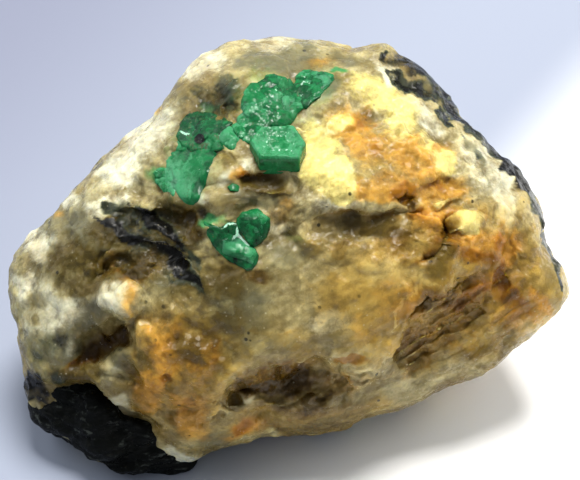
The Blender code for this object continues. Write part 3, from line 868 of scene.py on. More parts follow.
# Noise on the hidden sides: its size in mm and the height over which the mineral shows.
WILD = {
    Mineral.SMOKE: (9.0, 0.05), Mineral.CHALK: (8.0, 0.1), Mineral.PRIMROSE: (6.0, 0.45),
    Mineral.OCHRE: (10.0, 0.2), Mineral.RUST: (6.0, 0.35), Mineral.UMBER_AND_SHADE: (4.0, 0.5),
    Mineral.MOSS: (6.0, 0.5), Mineral.SCHIST: (7.0, 0.38), Mineral.GREEN: (5.0, 0.6),
    Mineral.HONEY: (12.0, -0.1), Mineral.SHADE_AND_DARK_ROCK: (7.0, 0.3)}
# How the rock's grain leans on the left and on the right of the show face, in degrees.
LEAN_LEFT = -47.0
LEAN_RIGHT = 31.0
# Noise that makes drawn edges natural: how far it moves them and how coarse it is, in mm.
ZONE_DRIFT = ((0.7, 4.5), (0.4, 1.5), (0.16, 0.5))
LEDGE_DRIFT = ((0.35, 2.4),)
CRUMBLE = ((0.14, 0.8),)
# How strongly the grain and each block's own tone break up a mineral's cover.
STRANDS = {Mineral.SCHIST: 0.55, Mineral.MOSS: 0.5}
BLOCKS = {Mineral.SCHIST: 0.1}


# ---- the stone, built
@dataclass
class Stone:
    """The matrix: body, ledges, hollows, broken skin and mineral zones, some of them painted shade.

    The ranges front_from, drawn_from and rim_from say at which outward part of a direction the
    front, its drawn zones and the rim set in.
    """

    detail: int = 128
    crowd: float = 0.66
    half_sizes: Triple = (26.0, 21.0, 15.0)
    lump: Lump = field(default_factory=lambda: Lump(STONE_OUTLINE, STONE_FACETS, front=14.5, back=19.0))
    front_from: tuple[float, float] = (-0.05, 0.35)
    drawn_from: tuple[float, float] = (-0.32, -0.06)
    rim_from: tuple[float, float] = (0.45, 0.12)
    deepest: float = 2.4
    groove_period: float = 0.9
    groove_depth: float = 0.2
    groove_crest: float = 0.68
    coarse: Plates = Plates(0.34, 6.0, 11, 0.62)
    fine: tuple[Plates, ...] = (
        Plates(0.28, 3.0, 12, 0.66, True, 5.0), Plates(0.16, 1.9, 15, 0.66, False, 7.0),
        Plates(0.24, 1.2, 13, 0.68, True, 9.0))
    finest: Plates = Plates(0.24, 0.6, 14, 0.75, True, 3.0)
    heights: Array = field(init=False)
    groove_shade: Array = field(init=False)
    peak: Array = field(init=False)

    def relief(self, places: Array) -> Array:
        """Depth in mm of ledges, hollows and striae below the body at map places."""
        coarse = drift(places, LEDGE_DRIFT, 3)
        moved = drift(coarse, CRUMBLE, 9)
        depth = sum(ledge.depth(moved) for ledge in LEDGES) + added(HOLLOWS, moved)
        return depth + self.striae(coarse)

    def striae(self, places: Array) -> Array:
        """Depth in mm of the slanting saw-tooth grooves below the slab's arc; their pattern is also kept as
        the mask for painted shade in the grooves.
        """
        along, across = (places @ way for way in ways(LEAN_RIGHT))
        zone = ease(0.1, 0.8, -ARC.measure(places)[0]) * GROOVED.cover(places)
        sway = map_noise(across * 0.6, along * 0.12, 77)
        phase = (across / self.groove_period + 0.8 * sway) % 1.0
        tooth = np.clip(np.abs(phase - self.groove_crest) / self.groove_crest, 0.0, 1.0)
        self.groove_shade = zone * tooth * (0.6 + 0.6 * map_noise(across * 0.9, along * 0.16, 78))
        return zone * self.groove_depth * tooth

    def sweep(self, mapped: Array, size: float, seed: int) -> Array:
        """Long noise along the rock's grain, which leans left on the left and right on the right."""
        share = ease(-14.0, -3.0, mapped[:, 0])
        total = np.zeros(len(mapped))
        for lean, weight in ((LEAN_LEFT, 1.0 - share), (LEAN_RIGHT, share)):
            along, across = (mapped[:, :2] @ way for way in ways(lean))
            drawn_out = np.column_stack([along / (3.6 * size), across / size, mapped[:, 2] / (2.0 * size)])
            total += weight * fractal(drawn_out, 3, seed)
        return total

    def skin(self, world: Array, mapped: Array, calm: Array, rim: Array) -> Array:
        """Height in mm of the broken surface along its normal, lower where it is calm or at the rim."""
        bent = world + 0.4 * np.column_stack([fractal(world / 1.7, 3, seed) for seed in (51, 52, 53)])
        rough = np.clip(0.95 + 0.6 * fractal(world / 6.0, 2, 41), 0.35, 1.4)
        rough *= np.maximum(1.0 - 0.65 * calm, 0.15) * (1.0 - 0.6 * rim)
        fine = sum(layer.height(bent) for layer in self.fine) + self.finest.height(world)
        self.peak = np.clip(0.5 + (fine - fine.mean()) / (3.2 * fine.std()), 0.0, 1.0)
        coarse = self.coarse.height(bent) * (1.0 - 0.3 * rim)
        height = coarse + (fine + 0.26 * self.sweep(mapped, 1.3, 83)) * rough
        return height - height.mean()

    def chart(self, mapped: Array, front: Array) -> None:
        """Chart the finished front: mean height w in squares of CELL mm, gaps filled from around."""
        size = tuple(int(2 * half / CELL) for half in CHART_HALF)
        place = np.floor((mapped[front, :2] + CHART_HALF) / CELL).astype(int)
        flat = np.ravel_multi_index(np.clip(place, 0, np.array(size) - 1).T, size)
        total = np.bincount(flat, mapped[front, 2], size[0] * size[1]).reshape(size)
        count = np.bincount(flat, minlength=size[0] * size[1]).reshape(size).astype(float)
        for _ in range(3):
            total, count = (sum(np.roll(layer, (i, j), (0, 1)) for i in (-1, 0, 1) for j in (-1, 0, 1))
                            + 2.0 * layer for layer in (total, count))
        self.heights = total / np.maximum(count, 1e-9)

    def lie(self, places: Array) -> Array:
        """Height w in mm of the finished front at map places, between the chart's squares."""
        square = np.clip((places + CHART_HALF) / CELL - 0.5, 0.0, np.array(self.heights.shape) - 1.001)
        low = np.floor(square).astype(int)
        part = square - low
        across = [self.heights[low[:, 0] + i, low[:, 1]] * (1.0 - part[:, 1])
                  + self.heights[low[:, 0] + i, low[:, 1] + 1] * part[:, 1] for i in (0, 1)]
        return across[0] * (1.0 - part[:, 0]) + across[1] * part[:, 0]

    def height(self, x: float, y: float) -> float:
        """Height w of the finished front in mm at a grid point."""
        return float(self.lie(on_grid([(x, y)]))[0])

    def build(self, material: Material) -> None:
        """Make the stone's mesh with its marks, flat where it stands on the floor."""
        direction, quads = cube_sphere(self.detail)
        rise = np.arccos(np.clip(direction[:, 2], -1.0, 1.0))
        pulled = 2.0 * np.arctan(self.crowd * np.tan(np.minimum(rise, math.pi - 1e-9) / 2.0))
        direction[:, :2] *= (np.sin(pulled) / np.maximum(np.sin(rise), 1e-9))[:, None]
        direction[:, 2] = np.cos(pulled)
        direction = unit(direction * self.half_sizes)
        mapped = self.lump.surface(direction)
        front = ease(*self.front_from, direction[:, 2])
        places = mapped[:, :2].copy()
        depth = self.relief(places)
        mapped[:, 2] -= depth * front
        body = FACE.to_world(mapped)
        marks = self.marks(places, body, ease(*self.drawn_from, direction[:, 2]))
        calm = np.clip(0.4 * marks["smoke"] + strongest(CALM, places), 0.0, 1.5) * front
        rim = ease(*self.rim_from, np.abs(direction[:, 2]))
        world = moved_out(body, quads, self.skin(body, mapped, calm, rim))
        world[:, 2] = np.maximum(world[:, 2], 0.0)
        # Depth of the hollows, which the finish turns into painted shade.
        marks["hollow"] = np.clip(depth / self.deepest, 0.0, 1.0) * front
        marks["peak"] = self.peak
        marks["tone"] = np.clip(0.6 * marks["tone"] + 0.2 + 0.5 * self.sweep(mapped, 0.8, 91), 0.0, 1.0)
        marks["grit"] = np.maximum(1.0 - 0.7 * calm, 0.1)
        stone = link_mesh("stone", world, quads, material, marks)
        self.chart(FACE.to_map(world), direction[:, 2] > 0.02)
        enlist(stone, "quartz_matrix", "matrix")

    def marks(self, places: Array, world: Array, front: Array) -> dict[str, Array]:
        """Cover of each mineral at every vertex: drawn zones in front, drifting noise behind.

        Args:
            places: map places of the vertices.
            world: world places of the vertices in mm.
            front: 1 on the show face, 0 behind.

        Returns:
            The values by mineral name.
        """
        moved = drift(places, ZONE_DRIFT, 101)
        block = cell_tone(world, 1.3, 61) - 0.5
        marks = {"tone": 0.6 * cell_tone(world, 2.2, 62) + 0.4 * cell_tone(world, 0.9, 63)}
        along, across = (moved @ way for way in ways(LEAN_LEFT))
        strand = map_noise(along / 4.0, across / 0.42, 79)
        for index, mineral in enumerate(Mineral):
            drawn = strongest(ZONES[mineral], moved)
            if mineral in STRANDS:
                drawn = drawn * (0.8 + STRANDS[mineral] * strand)
            # Painted shade in the striae's grooves.
            if mineral is Mineral.SHADE_AND_DARK_ROCK:
                drawn = np.maximum(drawn, 0.7 * self.groove_shade)
            drawn = np.clip(drawn * (1.0 + BLOCKS.get(mineral, 0.5) * block), 0.0, 1.0)
            marks[mineral.value] = drawn * front + self.wild(mineral, world, index) * (1.0 - front)
        return marks

    def wild(self, mineral: Mineral, world: Array, seed: int) -> Array:
        """Cover of a mineral on the hidden sides, from noise over its threshold."""
        size, threshold = WILD[mineral]
        squashed = world * (1.0, 1.0, 1.8) / size
        return ease(threshold - 0.12, threshold + 0.2, fractal(squashed, 4, 300 + 13 * seed))


class Tint(NamedTuple):
    """A mineral's linear colour, ragged edges, thin stain, and how opaque it is where it is thick."""

    mineral: Mineral
    colour: Triple
    ragged: float
    stain: Triple = (1.0, 1.0, 1.0)
    body: float = 1.0


@dataclass(frozen=True)
class StoneFinish:
    """Waxy quartz and feldspar with iron stains: one tint for each mineral, in linear colour, with painted
    shade in creases and hollows, painted highlights on peaks and pale flecks as painted glints.
    """

    quartz: Triple = (0.33, 0.265, 0.105)
    quartz_pale: Triple = (0.60, 0.52, 0.26)
    # Painted shade for the relief's low places and hollows, also darkening the real cracks.
    crack_and_crease_shade: Triple = (0.50, 0.36, 0.15)
    # Painted highlight on the peaks of the relief.
    peak_highlight: Triple = (1.5, 1.5, 1.5)
    # Pale colour of the painted glints.
    glint_fleck: Triple = (0.95, 0.90, 0.68)
    speck: Triple = (0.02, 0.018, 0.010)
    tints: tuple[Tint, ...] = (
        Tint(Mineral.SMOKE, (0.215, 0.20, 0.11), 0.6, (0.88, 0.9, 0.86)),
        Tint(Mineral.CHALK, (0.90, 0.87, 0.62), 0.7),
        Tint(Mineral.HONEY, (0.36, 0.208, 0.038), 0.4, (1.0, 0.81, 0.39), 0.4),
        Tint(Mineral.OCHRE, (0.80, 0.415, 0.066), 0.7, (1.0, 0.74, 0.32), 0.6),
        Tint(Mineral.PRIMROSE, (1.0, 0.86, 0.30), 0.6, (1.0, 0.94, 0.5), 0.85),
        Tint(Mineral.RUST, (0.25, 0.105, 0.005), 0.8, (0.85, 0.58, 0.18), 0.8),
        # Stain in cavities and painted shade: dark brown.
        Tint(Mineral.UMBER_AND_SHADE, (0.064, 0.035, 0.002), 0.8, (0.6, 0.42, 0.16), 0.9),
        # Painted shade and dark rock: dark brown-grey.
        Tint(Mineral.SHADE_AND_DARK_ROCK, (0.105, 0.073, 0.013), 0.7, (0.66, 0.58, 0.34), 0.85),
        Tint(Mineral.MOSS, (0.05, 0.06, 0.034), 0.9, (0.65, 0.68, 0.55)),
        Tint(Mineral.GREEN, (0.08, 0.34, 0.11), 0.6, (0.6, 0.9, 0.6)),
        Tint(Mineral.SCHIST, (0.004, 0.004, 0.003), 0.55, (0.5, 0.5, 0.45)))

    def make(self) -> Material:
        """Tint by tint, each with an edge roughened by fine noise, over a two-tone quartz; then painted
        highlight on peaks, painted shade in creases and hollows, and painted glints.
        """
        recipe = Recipe("iron_stained_quartz")
        coarse = recipe.noise(2.2, 3.0, 0.5) - 0.5
        fine = recipe.noise(0.8, 5.0, 0.62, 0.5) - 0.5
        grain = recipe.noise(0.22, 3.0, 0.6) - 0.5
        tone, peak, grit = (recipe.mark(name) for name in ("tone", "peak", "grit"))
        ragged = coarse * 0.5 + fine * 0.6 + grain * 0.3 + (peak - 0.5) * 0.25
        base = recipe.mix((0.42 + tone * 0.3 + ragged).step(0.3, 0.9), self.quartz, self.quartz_pale)
        for tint in self.tints:
            cover = (recipe.mark(tint.mineral.value) * 1.1 + ragged * tint.ragged).step(0.08, 0.95)
            base = recipe.mix(cover, base, recipe.times(base, tint.stain))
            base = recipe.mix(cover * cover * tint.body, base, tint.colour)
        # Painted highlight: lighter on the peaks of the fine relief.
        base = recipe.mix(peak.step(0.5, 0.95) * 0.35, base, recipe.times(base, self.peak_highlight))
        # Painted shade: darker in the relief's low places and in the hollows; the veins are real cracks.
        low = peak.step(0.45, 0.1) * 0.35 * grit + recipe.mark("hollow") * 0.5
        veins = recipe.cracks(3.4, 0.06, 1.2) * recipe.noise(2.5, 2.0).step(0.52, 0.64) * 0.35
        base = recipe.mix((low + veins).clamp(), base, recipe.times(base, self.crack_and_crease_shade))
        # Pale flecks: painted glints over the stone.
        flecks = recipe.cells(0.55).step(0.22, 0.1) * recipe.noise(1.6, 3.0).step(0.5, 0.62)
        base = recipe.mix(flecks * 0.22, base, self.glint_fleck)
        shade = 0.54 + tone * 0.22 + (fine * 0.28 + grain * 0.24) * (0.35 + grit * 0.65)
        base = recipe.times(base, recipe.node("ShaderNodeCombineColor", {}, dict.fromkeys(range(3), shade)))
        specks = recipe.cells(1.7).step(0.13, 0.07) * recipe.noise(4.0, 2.0).step(0.5, 0.58)
        base = recipe.mix(specks * 0.9, base, self.speck)
        rough = (0.22 + fine * 0.4 + recipe.mark("chalk") * 0.1 + recipe.mark("shade_and_dark_rock") * 0.15).clamp()
        height = (recipe.chips(0.85) * 0.7 + recipe.chips(0.4) * 0.6) * grit + fine * 0.08
        return recipe.finish(
            Base_Color=base, Roughness=rough, Normal=recipe.bump(height, 1.0, 0.8),
            IOR=1.54, Specular_IOR_Level=0.14, Coat_Weight=0.035, Coat_Roughness=0.05,
            Subsurface_Weight=0.5, Subsurface_Radius=(1.0, 0.75, 0.35), Subsurface_Scale=1.2 * MM)


# ---- the schist corner
@dataclass
class SchistKnob:
    """The black foliated corner at the stone's lower left foot."""

    detail: int = 72
    stretched: Triple = (1.6, 1.0, 1.0)
    depth: float = 2.8
    lump: Lump = field(default_factory=lambda: Lump(
        ((33, 406), (36, 392), (43, 383), (51, 371), (68, 370), (84, 378), (98, 390), (112, 400),
         (134, 413), (152, 421), (168, 432), (186, 447), (182, 464), (143, 470), (97, 456), (58, 431),
         (40, 420)),
        (Facet(75, 400, 3.9, (-0.25, 0.1, 0.95)), Facet(130, 435, 3.6, (0.1, -0.35, 0.93)),
         Facet(60, 425, 2.4, (-0.6, -0.5, 0.62)), Facet(150, 460, 2.2, (0.3, -0.75, 0.58))),
        front=5.0, back=3.0, centre=(100, 424), edge=12.0))
    leaves: tuple[Plates, ...] = (Plates(0.35, 3.2, 21, 0.6), Plates(0.3, 1.4, 22, 0.7, False, 4.0))
    chips: Plates = Plates(0.22, 0.7, 23, 0.7, True)
    foliation: tuple[Triple, ...] = ((0.9, 0.1, 0.3), (-0.2, 1.0, 0.1), (0.55, 0.2, -1.9))

    def build(self, stone: Stone, material: Material) -> None:
        """Make the knob on the stone's foot, with leaf-like ridges along its foliation."""
        direction, quads = cube_sphere(self.detail)
        direction = unit(direction * self.stretched)
        self.lump.base = stone.height(*self.lump.centre) - self.depth
        body = FACE.to_world(self.lump.surface(direction))
        leaf = body @ np.array(self.foliation).T
        height = sum(layer.height(leaf) for layer in self.leaves) + self.chips.height(body)
        world = moved_out(body, quads, height)
        world[:, 2] = np.maximum(world[:, 2], 0.0)
        marks = {"tone": cell_tone(leaf, 1.6, 24)}
        enlist(link_mesh("schist", world, quads, material, marks), "schist", "schist_knob")


@dataclass(frozen=True)
class SchistFinish:
    """Glossy black mica schist with grey leaves."""

    black: Triple = (0.0025, 0.003, 0.0025)
    grey: Triple = (0.04, 0.045, 0.04)

    def make(self) -> Material:
        """Black with grey streaks where stretched noise is high."""
        recipe = Recipe("mica_schist")
        stretched = recipe.node("ShaderNodeMapping", {"vector_type": "POINT"}, {
            "Vector": recipe.place, "Rotation": (0.3, 0.5, -0.45), "Scale": (1.0, 2.2, 4.0)})
        streak = recipe.node("ShaderNodeTexNoise", {}, {
            "Vector": stretched, "Scale": 420.0, "Detail": 5.0, "Roughness": 0.65, "Distortion": 0.8})
        fine = recipe.noise(0.4, 4.0, 0.65)
        base = recipe.mix((streak + (fine - 0.5) * 0.3 + recipe.mark("tone") * 0.12).step(0.62, 0.78),
                          self.black, self.grey)
        height = recipe.chips(0.6) * 0.5 + recipe.chips(0.25) * 0.25 + streak
        return recipe.finish(Base_Color=base, Roughness=(0.1 + fine * 0.3).clamp(),
                             Normal=recipe.bump(height, 0.25), Specular_IOR_Level=0.05, IOR=1.5)


# ---- the emeralds
@dataclass(frozen=True)
class EmeraldFinish:
    """Glassy translucent green with veils, pale frosted places and painted highlights on the grains' edges.
    """

    deep: Triple = (0.004, 0.063, 0.019)
    green: Triple = (0.007, 0.145, 0.042)
    mint: Triple = (0.05, 0.265, 0.115)
    frost_and_highlight: Triple = (0.38, 0.68, 0.49)
    ink: Triple = (0.002, 0.004, 0.003)
    crust: Triple = (0.085, 0.09, 0.045)

    def make(self) -> Material:
        """Deep to mint by noise and the mesh's tone, with frost and painted edge highlights where the mesh
        is marked.
        """
        recipe = Recipe("emerald")
        veil = recipe.noise(0.9, 5.0, 0.62, 0.8)
        fine = recipe.noise(0.2, 4.0, 0.65)
        tone = recipe.mark("tone") + (veil - 0.5) * 0.9 + (fine - 0.5) * 0.5
        base = recipe.mix(tone.step(0.15, 0.5), self.deep, self.green)
        base = recipe.mix(tone.step(0.5, 0.95), base, self.mint)
        base = recipe.mix(tone.step(-0.1, -0.4), base, self.ink)
        crust = (recipe.mark("crust") + (veil - 0.5) * 1.6 + (fine - 0.5) * 1.2).step(0.5, 0.8)
        base = recipe.mix(crust * 0.85, base, self.crust)
        frost_and_highlight = (recipe.mark("frost_and_highlight") + (fine - 0.5) * 1.2).step(0.55, 0.9)
        base = recipe.mix(frost_and_highlight, base, self.frost_and_highlight)
        height = recipe.chips(0.35) * 0.5 + recipe.chips(0.15) * 0.4 + fine * 0.02
        rough = (0.12 + frost_and_highlight * 0.25 + (veil - 0.45) * 0.3).clamp()
        return recipe.finish(
            Base_Color=base, Roughness=rough, Normal=recipe.bump(height, 1.0, 0.5), IOR=1.58,
            Transmission_Weight=0.1, Specular_IOR_Level=0.11,
            Subsurface_Weight=0.6, Subsurface_Radius=(0.5, 1.0, 0.7), Subsurface_Scale=0.6 * MM)


# Lighter (+) and darker (-) places on the emerald grains.
GLOWS = ovals(
    (238, 243, 17, 7, 20, 0.35, 1.0), (236, 257, 14, 5, 30, -0.35, 1.0), (248, 266, 5, 3, 30, 0.3, 1.0),
    (229, 231, 8, 6, 0, -0.25, 1.0), (174, 178, 9, 12, -20, 0.35, 1.2), (209, 168, 5, 9, 0, -0.3, 1.0),
    (201, 187, 5, 10, 15, -0.3, 1.0), (190, 153, 18, 3, 0, -0.2, 1.0), (192, 203, 7, 6, 0, -0.25, 1.0),
    (287, 118, 9, 6, 0, -0.3, 1.0), (296, 87, 5, 6, 0, -0.25, 1.0), (253, 124, 9, 6, 0, -0.15, 1.0),
    (308, 91, 9, 6, 0, -0.2, 1.0), (320, 88, 4, 6, 0, -0.2, 1.0), (200, 139, 5, 5, 0, -1.4, 0.6),
    (210, 142, 10, 6, 0, 0.25, 1.4), (258, 242, 7, 4, 0, -0.4, 1.0))
# Painted highlights along the grains' edges, drawn in the pale frost colour.
HIGHLIGHT_RIMS = bands(
    (((223, 229), (228, 224), (236, 224)), 1.2, 0.9), (((237, 226), (237, 234), (249, 246)), 1.4, 0.9),
    (((237, 234), (232, 240)), 1.2, 0.8), (((222, 240), (228, 238)), 1.2, 0.6),
    (((180, 131), (185, 134), (190, 134)), 1.2, 0.9), (((212, 184), (217, 187), (222, 190)), 1.2, 0.6),
    (((276, 92), (277, 84)), 1.0, 0.5), (((300, 86), (304, 82), (310, 83)), 1.0, 0.6))


@dataclass
class Grain:
    """One crystal grain: its outline on the grid, how far it stands out, and its tone and frost; painted
    highlights join the frost on its seams and rims.

    Facets are drawn at random where none are given; an empty tuple leaves the grain round.
    """

    outline: Sequence[GridPoint]
    proud: float = 0.6
    tone: float = 0.5
    frost_and_highlight: float = 0.0
    facets: Sequence[Facet] | None = None
    seed: int = 0
    sunk: float = 1.2
    detail: int = 26
    ridge: float = 0.16
    ridge_size: float = 0.9
    fade: tuple[float, float] = (0.0, 0.0)
    crust: float = 0.3

    @property
    def centre(self) -> GridPoint:
        """Mean of the outline's points."""
        x, y = np.mean(np.array(self.outline, float), axis=0)
        return (float(x), float(y))

    def drawn_facets(self) -> list[Facet]:
        """Facets drawn at random: a tilted top and a ring of slopes around it."""
        draw = np.random.default_rng(self.seed)
        x, y = self.centre
        reach = float(np.mean(np.linalg.norm(np.array(self.outline) - (x, y), axis=1)))
        count = int(draw.integers(4, 7))
        start = draw.uniform(0.0, math.tau)
        facets = [Facet(x, y, self.proud * 0.92, (*(draw.uniform(-0.28, 0.28, 2)), 1.0))]
        for step in range(count):
            bearing = start + math.tau * (step + draw.uniform(-0.2, 0.2)) / count
            lean = draw.uniform(0.5, 1.1)
            way = (math.cos(bearing), math.sin(bearing))
            share = draw.uniform(0.45, 0.7)
            facets.append(Facet(x + share * reach * way[0], y - share * reach * way[1],
                                self.proud * draw.uniform(0.55, 0.85), (lean * way[0], lean * way[1], 1.0)))
        return facets

    def surface(self, stone: Stone) -> tuple[Array, Array, dict[str, Array]]:
        """World places in mm, quads and marks of the grain where it sits in the stone."""
        direction, quads = cube_sphere(self.detail)
        base = stone.height(*self.centre) - 0.1
        facets = self.drawn_facets() if self.facets is None else self.facets
        lump = Lump(self.outline, facets, front=self.proud * 1.15, back=self.sunk, centre=self.centre,
                    base=base, profile=2.6, edge=22.0, round_outline=False)
        mapped = lump.surface(direction)
        mapped[:, 2] += stone.lie(mapped[:, :2]) - base
        body = FACE.to_world(mapped)
        bent = body + 0.12 * np.column_stack([gradient_noise(body / 0.8, seed) for seed in (34, 35, 36)])
        ridge, shade, gap = mosaic(bent, self.ridge_size, 31 + self.seed)
        chip, chip_shade, chip_gap = mosaic(bent, 0.42 * self.ridge_size, 32)
        height = self.ridge * self.ridge_size * (ridge + 0.3 * chip)
        world = moved_out(body, quads, height)
        away = mapped[:, :2] - on_grid([self.centre])[0]
        tone = self.tone + away @ np.array(self.fade) + 0.5 * (shade - 0.5) + 0.34 * (chip_shade - 0.5)
        tone = tone + added(GLOWS, mapped[:, :2])
        # Painted highlights: thin pale lines along the seams between plates.
        seam_highlights = ease(0.06, 0.0, gap) + 0.6 * ease(0.08, 0.0, chip_gap)
        frost_and_highlight = self.frost_and_highlight + 0.6 * seam_highlights * ease(-0.1, 0.5, gradient_noise(body / 0.9, 37))
        frost_and_highlight = frost_and_highlight + added(HIGHLIGHT_RIMS, mapped[:, :2])
        crust = self.crust * ease(0.7, 0.25, direction[:, 2])
        return world, quads, {"tone": tone, "frost_and_highlight": frost_and_highlight, "crust": crust}


@dataclass
class HexagonalCrystal:
    """The clear six-sided crystal: upright, with a dished, sparkling end inside a raised rim.

    Its mesh is a disc of rings. Their share v runs from 0 in the middle of the end, through
    rim_share at the rim and root_share at the sides' foot, to 1 at the root's middle.
    """

    front_foot: GridPoint = (279.5, 174.0)
    radius: float = 2.42
    rise: float = 2.0
    sunk: float = 3.0
    dish: float = 0.28
    bevel: float = 0.16
    axis_shift: float = -0.15
    turns: int = 300
    rows: int = 130
    rim_share: float = 0.55
    root_share: float = 0.9
    sharpness: float = 60.0
    corners: tuple[GridPoint, ...] = ((2.44, -0.06), (1.38, 2.06), (-1.62, 1.76), (-2.44, 0.06),
                                      (-1.56, -1.94), (1.84, -1.94))
    sparkle: tuple[Plates, ...] = (Plates(0.5, 0.34, 41), Plates(0.3, 0.2, 42, shift=3.0))
    flutes: Plates = Plates(0.02, 0.8, 44)

    def reach(self, bearing: Array) -> Array:
        """Radius of the six-sided outline, its corners slightly rounded by a power mean of sides."""
        way = np.stack([np.cos(bearing), np.sin(bearing)], -1)
        total = np.zeros(bearing.shape)
        for first, second in zip(self.corners, self.corners[1:] + self.corners[:1]):
            normal = np.array([second[1] - first[1], first[0] - second[0]])
            total += np.maximum(way @ normal / (normal @ np.array(first)), 0.0) ** self.sharpness
        return total ** (-1.0 / self.sharpness)

    def build(self, stone: Stone, material: Material) -> None:
        """Place the crystal on the stone, its front foot at its grid point."""
        foot = on_grid([self.front_foot])
        place = FACE.to_world(np.column_stack([foot, [stone.height(*self.front_foot)]]))[0]
        axis = place + (self.axis_shift, self.radius * math.cos(math.pi / 6.0), 0.0)
        points, ring, side = self.rings(axis)
        crust = ease(0.4, 0.6, ring) * ease(1.0, 0.88, ring)
        rough = sum(layer.height(points) for layer in self.sparkle)
        points[:, 2] += np.where(side, 0.0, rough * (0.1 + 0.55 * crust))
        groove = 0.012 * gradient_noise(points * (5.0, 5.0, 0.5), 43)
        groove += self.flutes.height(points * (1.0, 1.0, 0.4))
        away = (points - axis) * (1.0, 1.0, 0.0)
        outward = away / np.maximum(np.linalg.norm(away, axis=1), 0.3)[:, None]
        points += np.where(side[:, None], outward * groove[:, None], 0.0)
        inner = np.exp(-((ring - 0.42) / 0.07) ** 2)
        flecks = ease(0.5, 0.9, cell_tone(points, 0.24, 46)) * ease(0.3, 0.45, ring) * ease(0.88, 0.74, ring)
        frost_and_highlight = 0.16 * crust + 0.4 * inner + 0.42 * flecks + 0.3 * ease(0.95, 0.99, ring)
        tone = np.where(side, 0.48, 0.74 + 0.1 * crust - 0.1 * ease(0.42, 0.1, ring))
        marks = {"frost_and_highlight": np.where(side, 0.0, frost_and_highlight), "crust": np.zeros(len(points)),
                 "tone": tone + 0.25 * (cell_tone(points, 0.7, 45) - 0.5)}
        piece = link_mesh("hexagonal_crystal", points, self.faces(), material, marks)
        enlist(piece, "emerald", "emerald_hexagonal_crystal")

    def rings(self, axis: Array) -> tuple[Array, Array, Array]:
        """World places of the rings and the two middles around the axis point.

        Args:
            axis: place in mm where the axis meets the stone.

        Returns:
            The places in mm, the share of the way from the end's middle to its rim, and whether a
            place lies on the sides or the root.
        """
        bearing = np.linspace(0.0, math.tau, self.turns, endpoint=False)
        share = np.linspace(0.0, 1.0, self.rows + 1)[1:-1]
        turn, v = np.meshgrid(bearing, share, indexing="xy")
        on_end = v <= self.rim_share
        on_root = v >= self.root_share
        width = np.where(on_end, v / self.rim_share, 1.0)
        width = np.where(on_root, (1.0 - v) / (1.0 - self.root_share), width)
        down = np.clip((v - self.rim_share) / (self.root_share - self.rim_share), 0.0, 1.0)
        drop = down * (self.rise + self.sunk)
        under = ease(self.rise - 0.1, self.rise + 0.5, drop)
        radius = self.reach(turn) * width * (1.0 - 0.012 * drop - 0.22 * under)
        radius = radius * (1.0 + 0.05 * (1.0 - np.exp(-drop / 0.25)) * ~on_end)
        bevel = self.bevel * np.where(on_end, ease(0.9, 1.0, width) ** 1.5, 1.0)
        dished = self.dish * ease(0.95, 0.45, width) * on_end
        points = np.stack([axis[0] + radius * np.cos(turn), axis[1] + radius * np.sin(turn),
                           axis[2] + self.rise - drop - bevel - dished], -1).reshape(-1, 3)
        middles = axis + [[0.0, 0.0, self.rise - self.dish], [0.0, 0.0, -self.sunk]]
        ring = np.concatenate([(width * on_end).ravel(), [0.0, 0.0]])
        side = np.concatenate([~on_end.ravel(), [False, True]])
        return np.concatenate([points, middles]), ring, side

    def faces(self) -> Array:
        """Triangles between neighbouring rings, and a fan of them at each middle."""
        rings = self.rows - 1
        index = np.arange(rings * self.turns).reshape(rings, self.turns)
        after = np.roll(index, -1, axis=1)
        quads = np.stack([index[:-1], index[1:], after[1:], after[:-1]], -1).reshape(-1, 4)
        end, root = rings * self.turns, rings * self.turns + 1
        first, last = index[0], index[-1]
        triangles = [np.stack([np.full_like(first, end), first, after[0]], -1),
                     np.stack([last, np.full_like(last, root), after[-1]], -1)]
        split = np.concatenate([quads[:, [0, 1, 2]], quads[:, [0, 2, 3]]])
        return np.concatenate([split, *triangles])


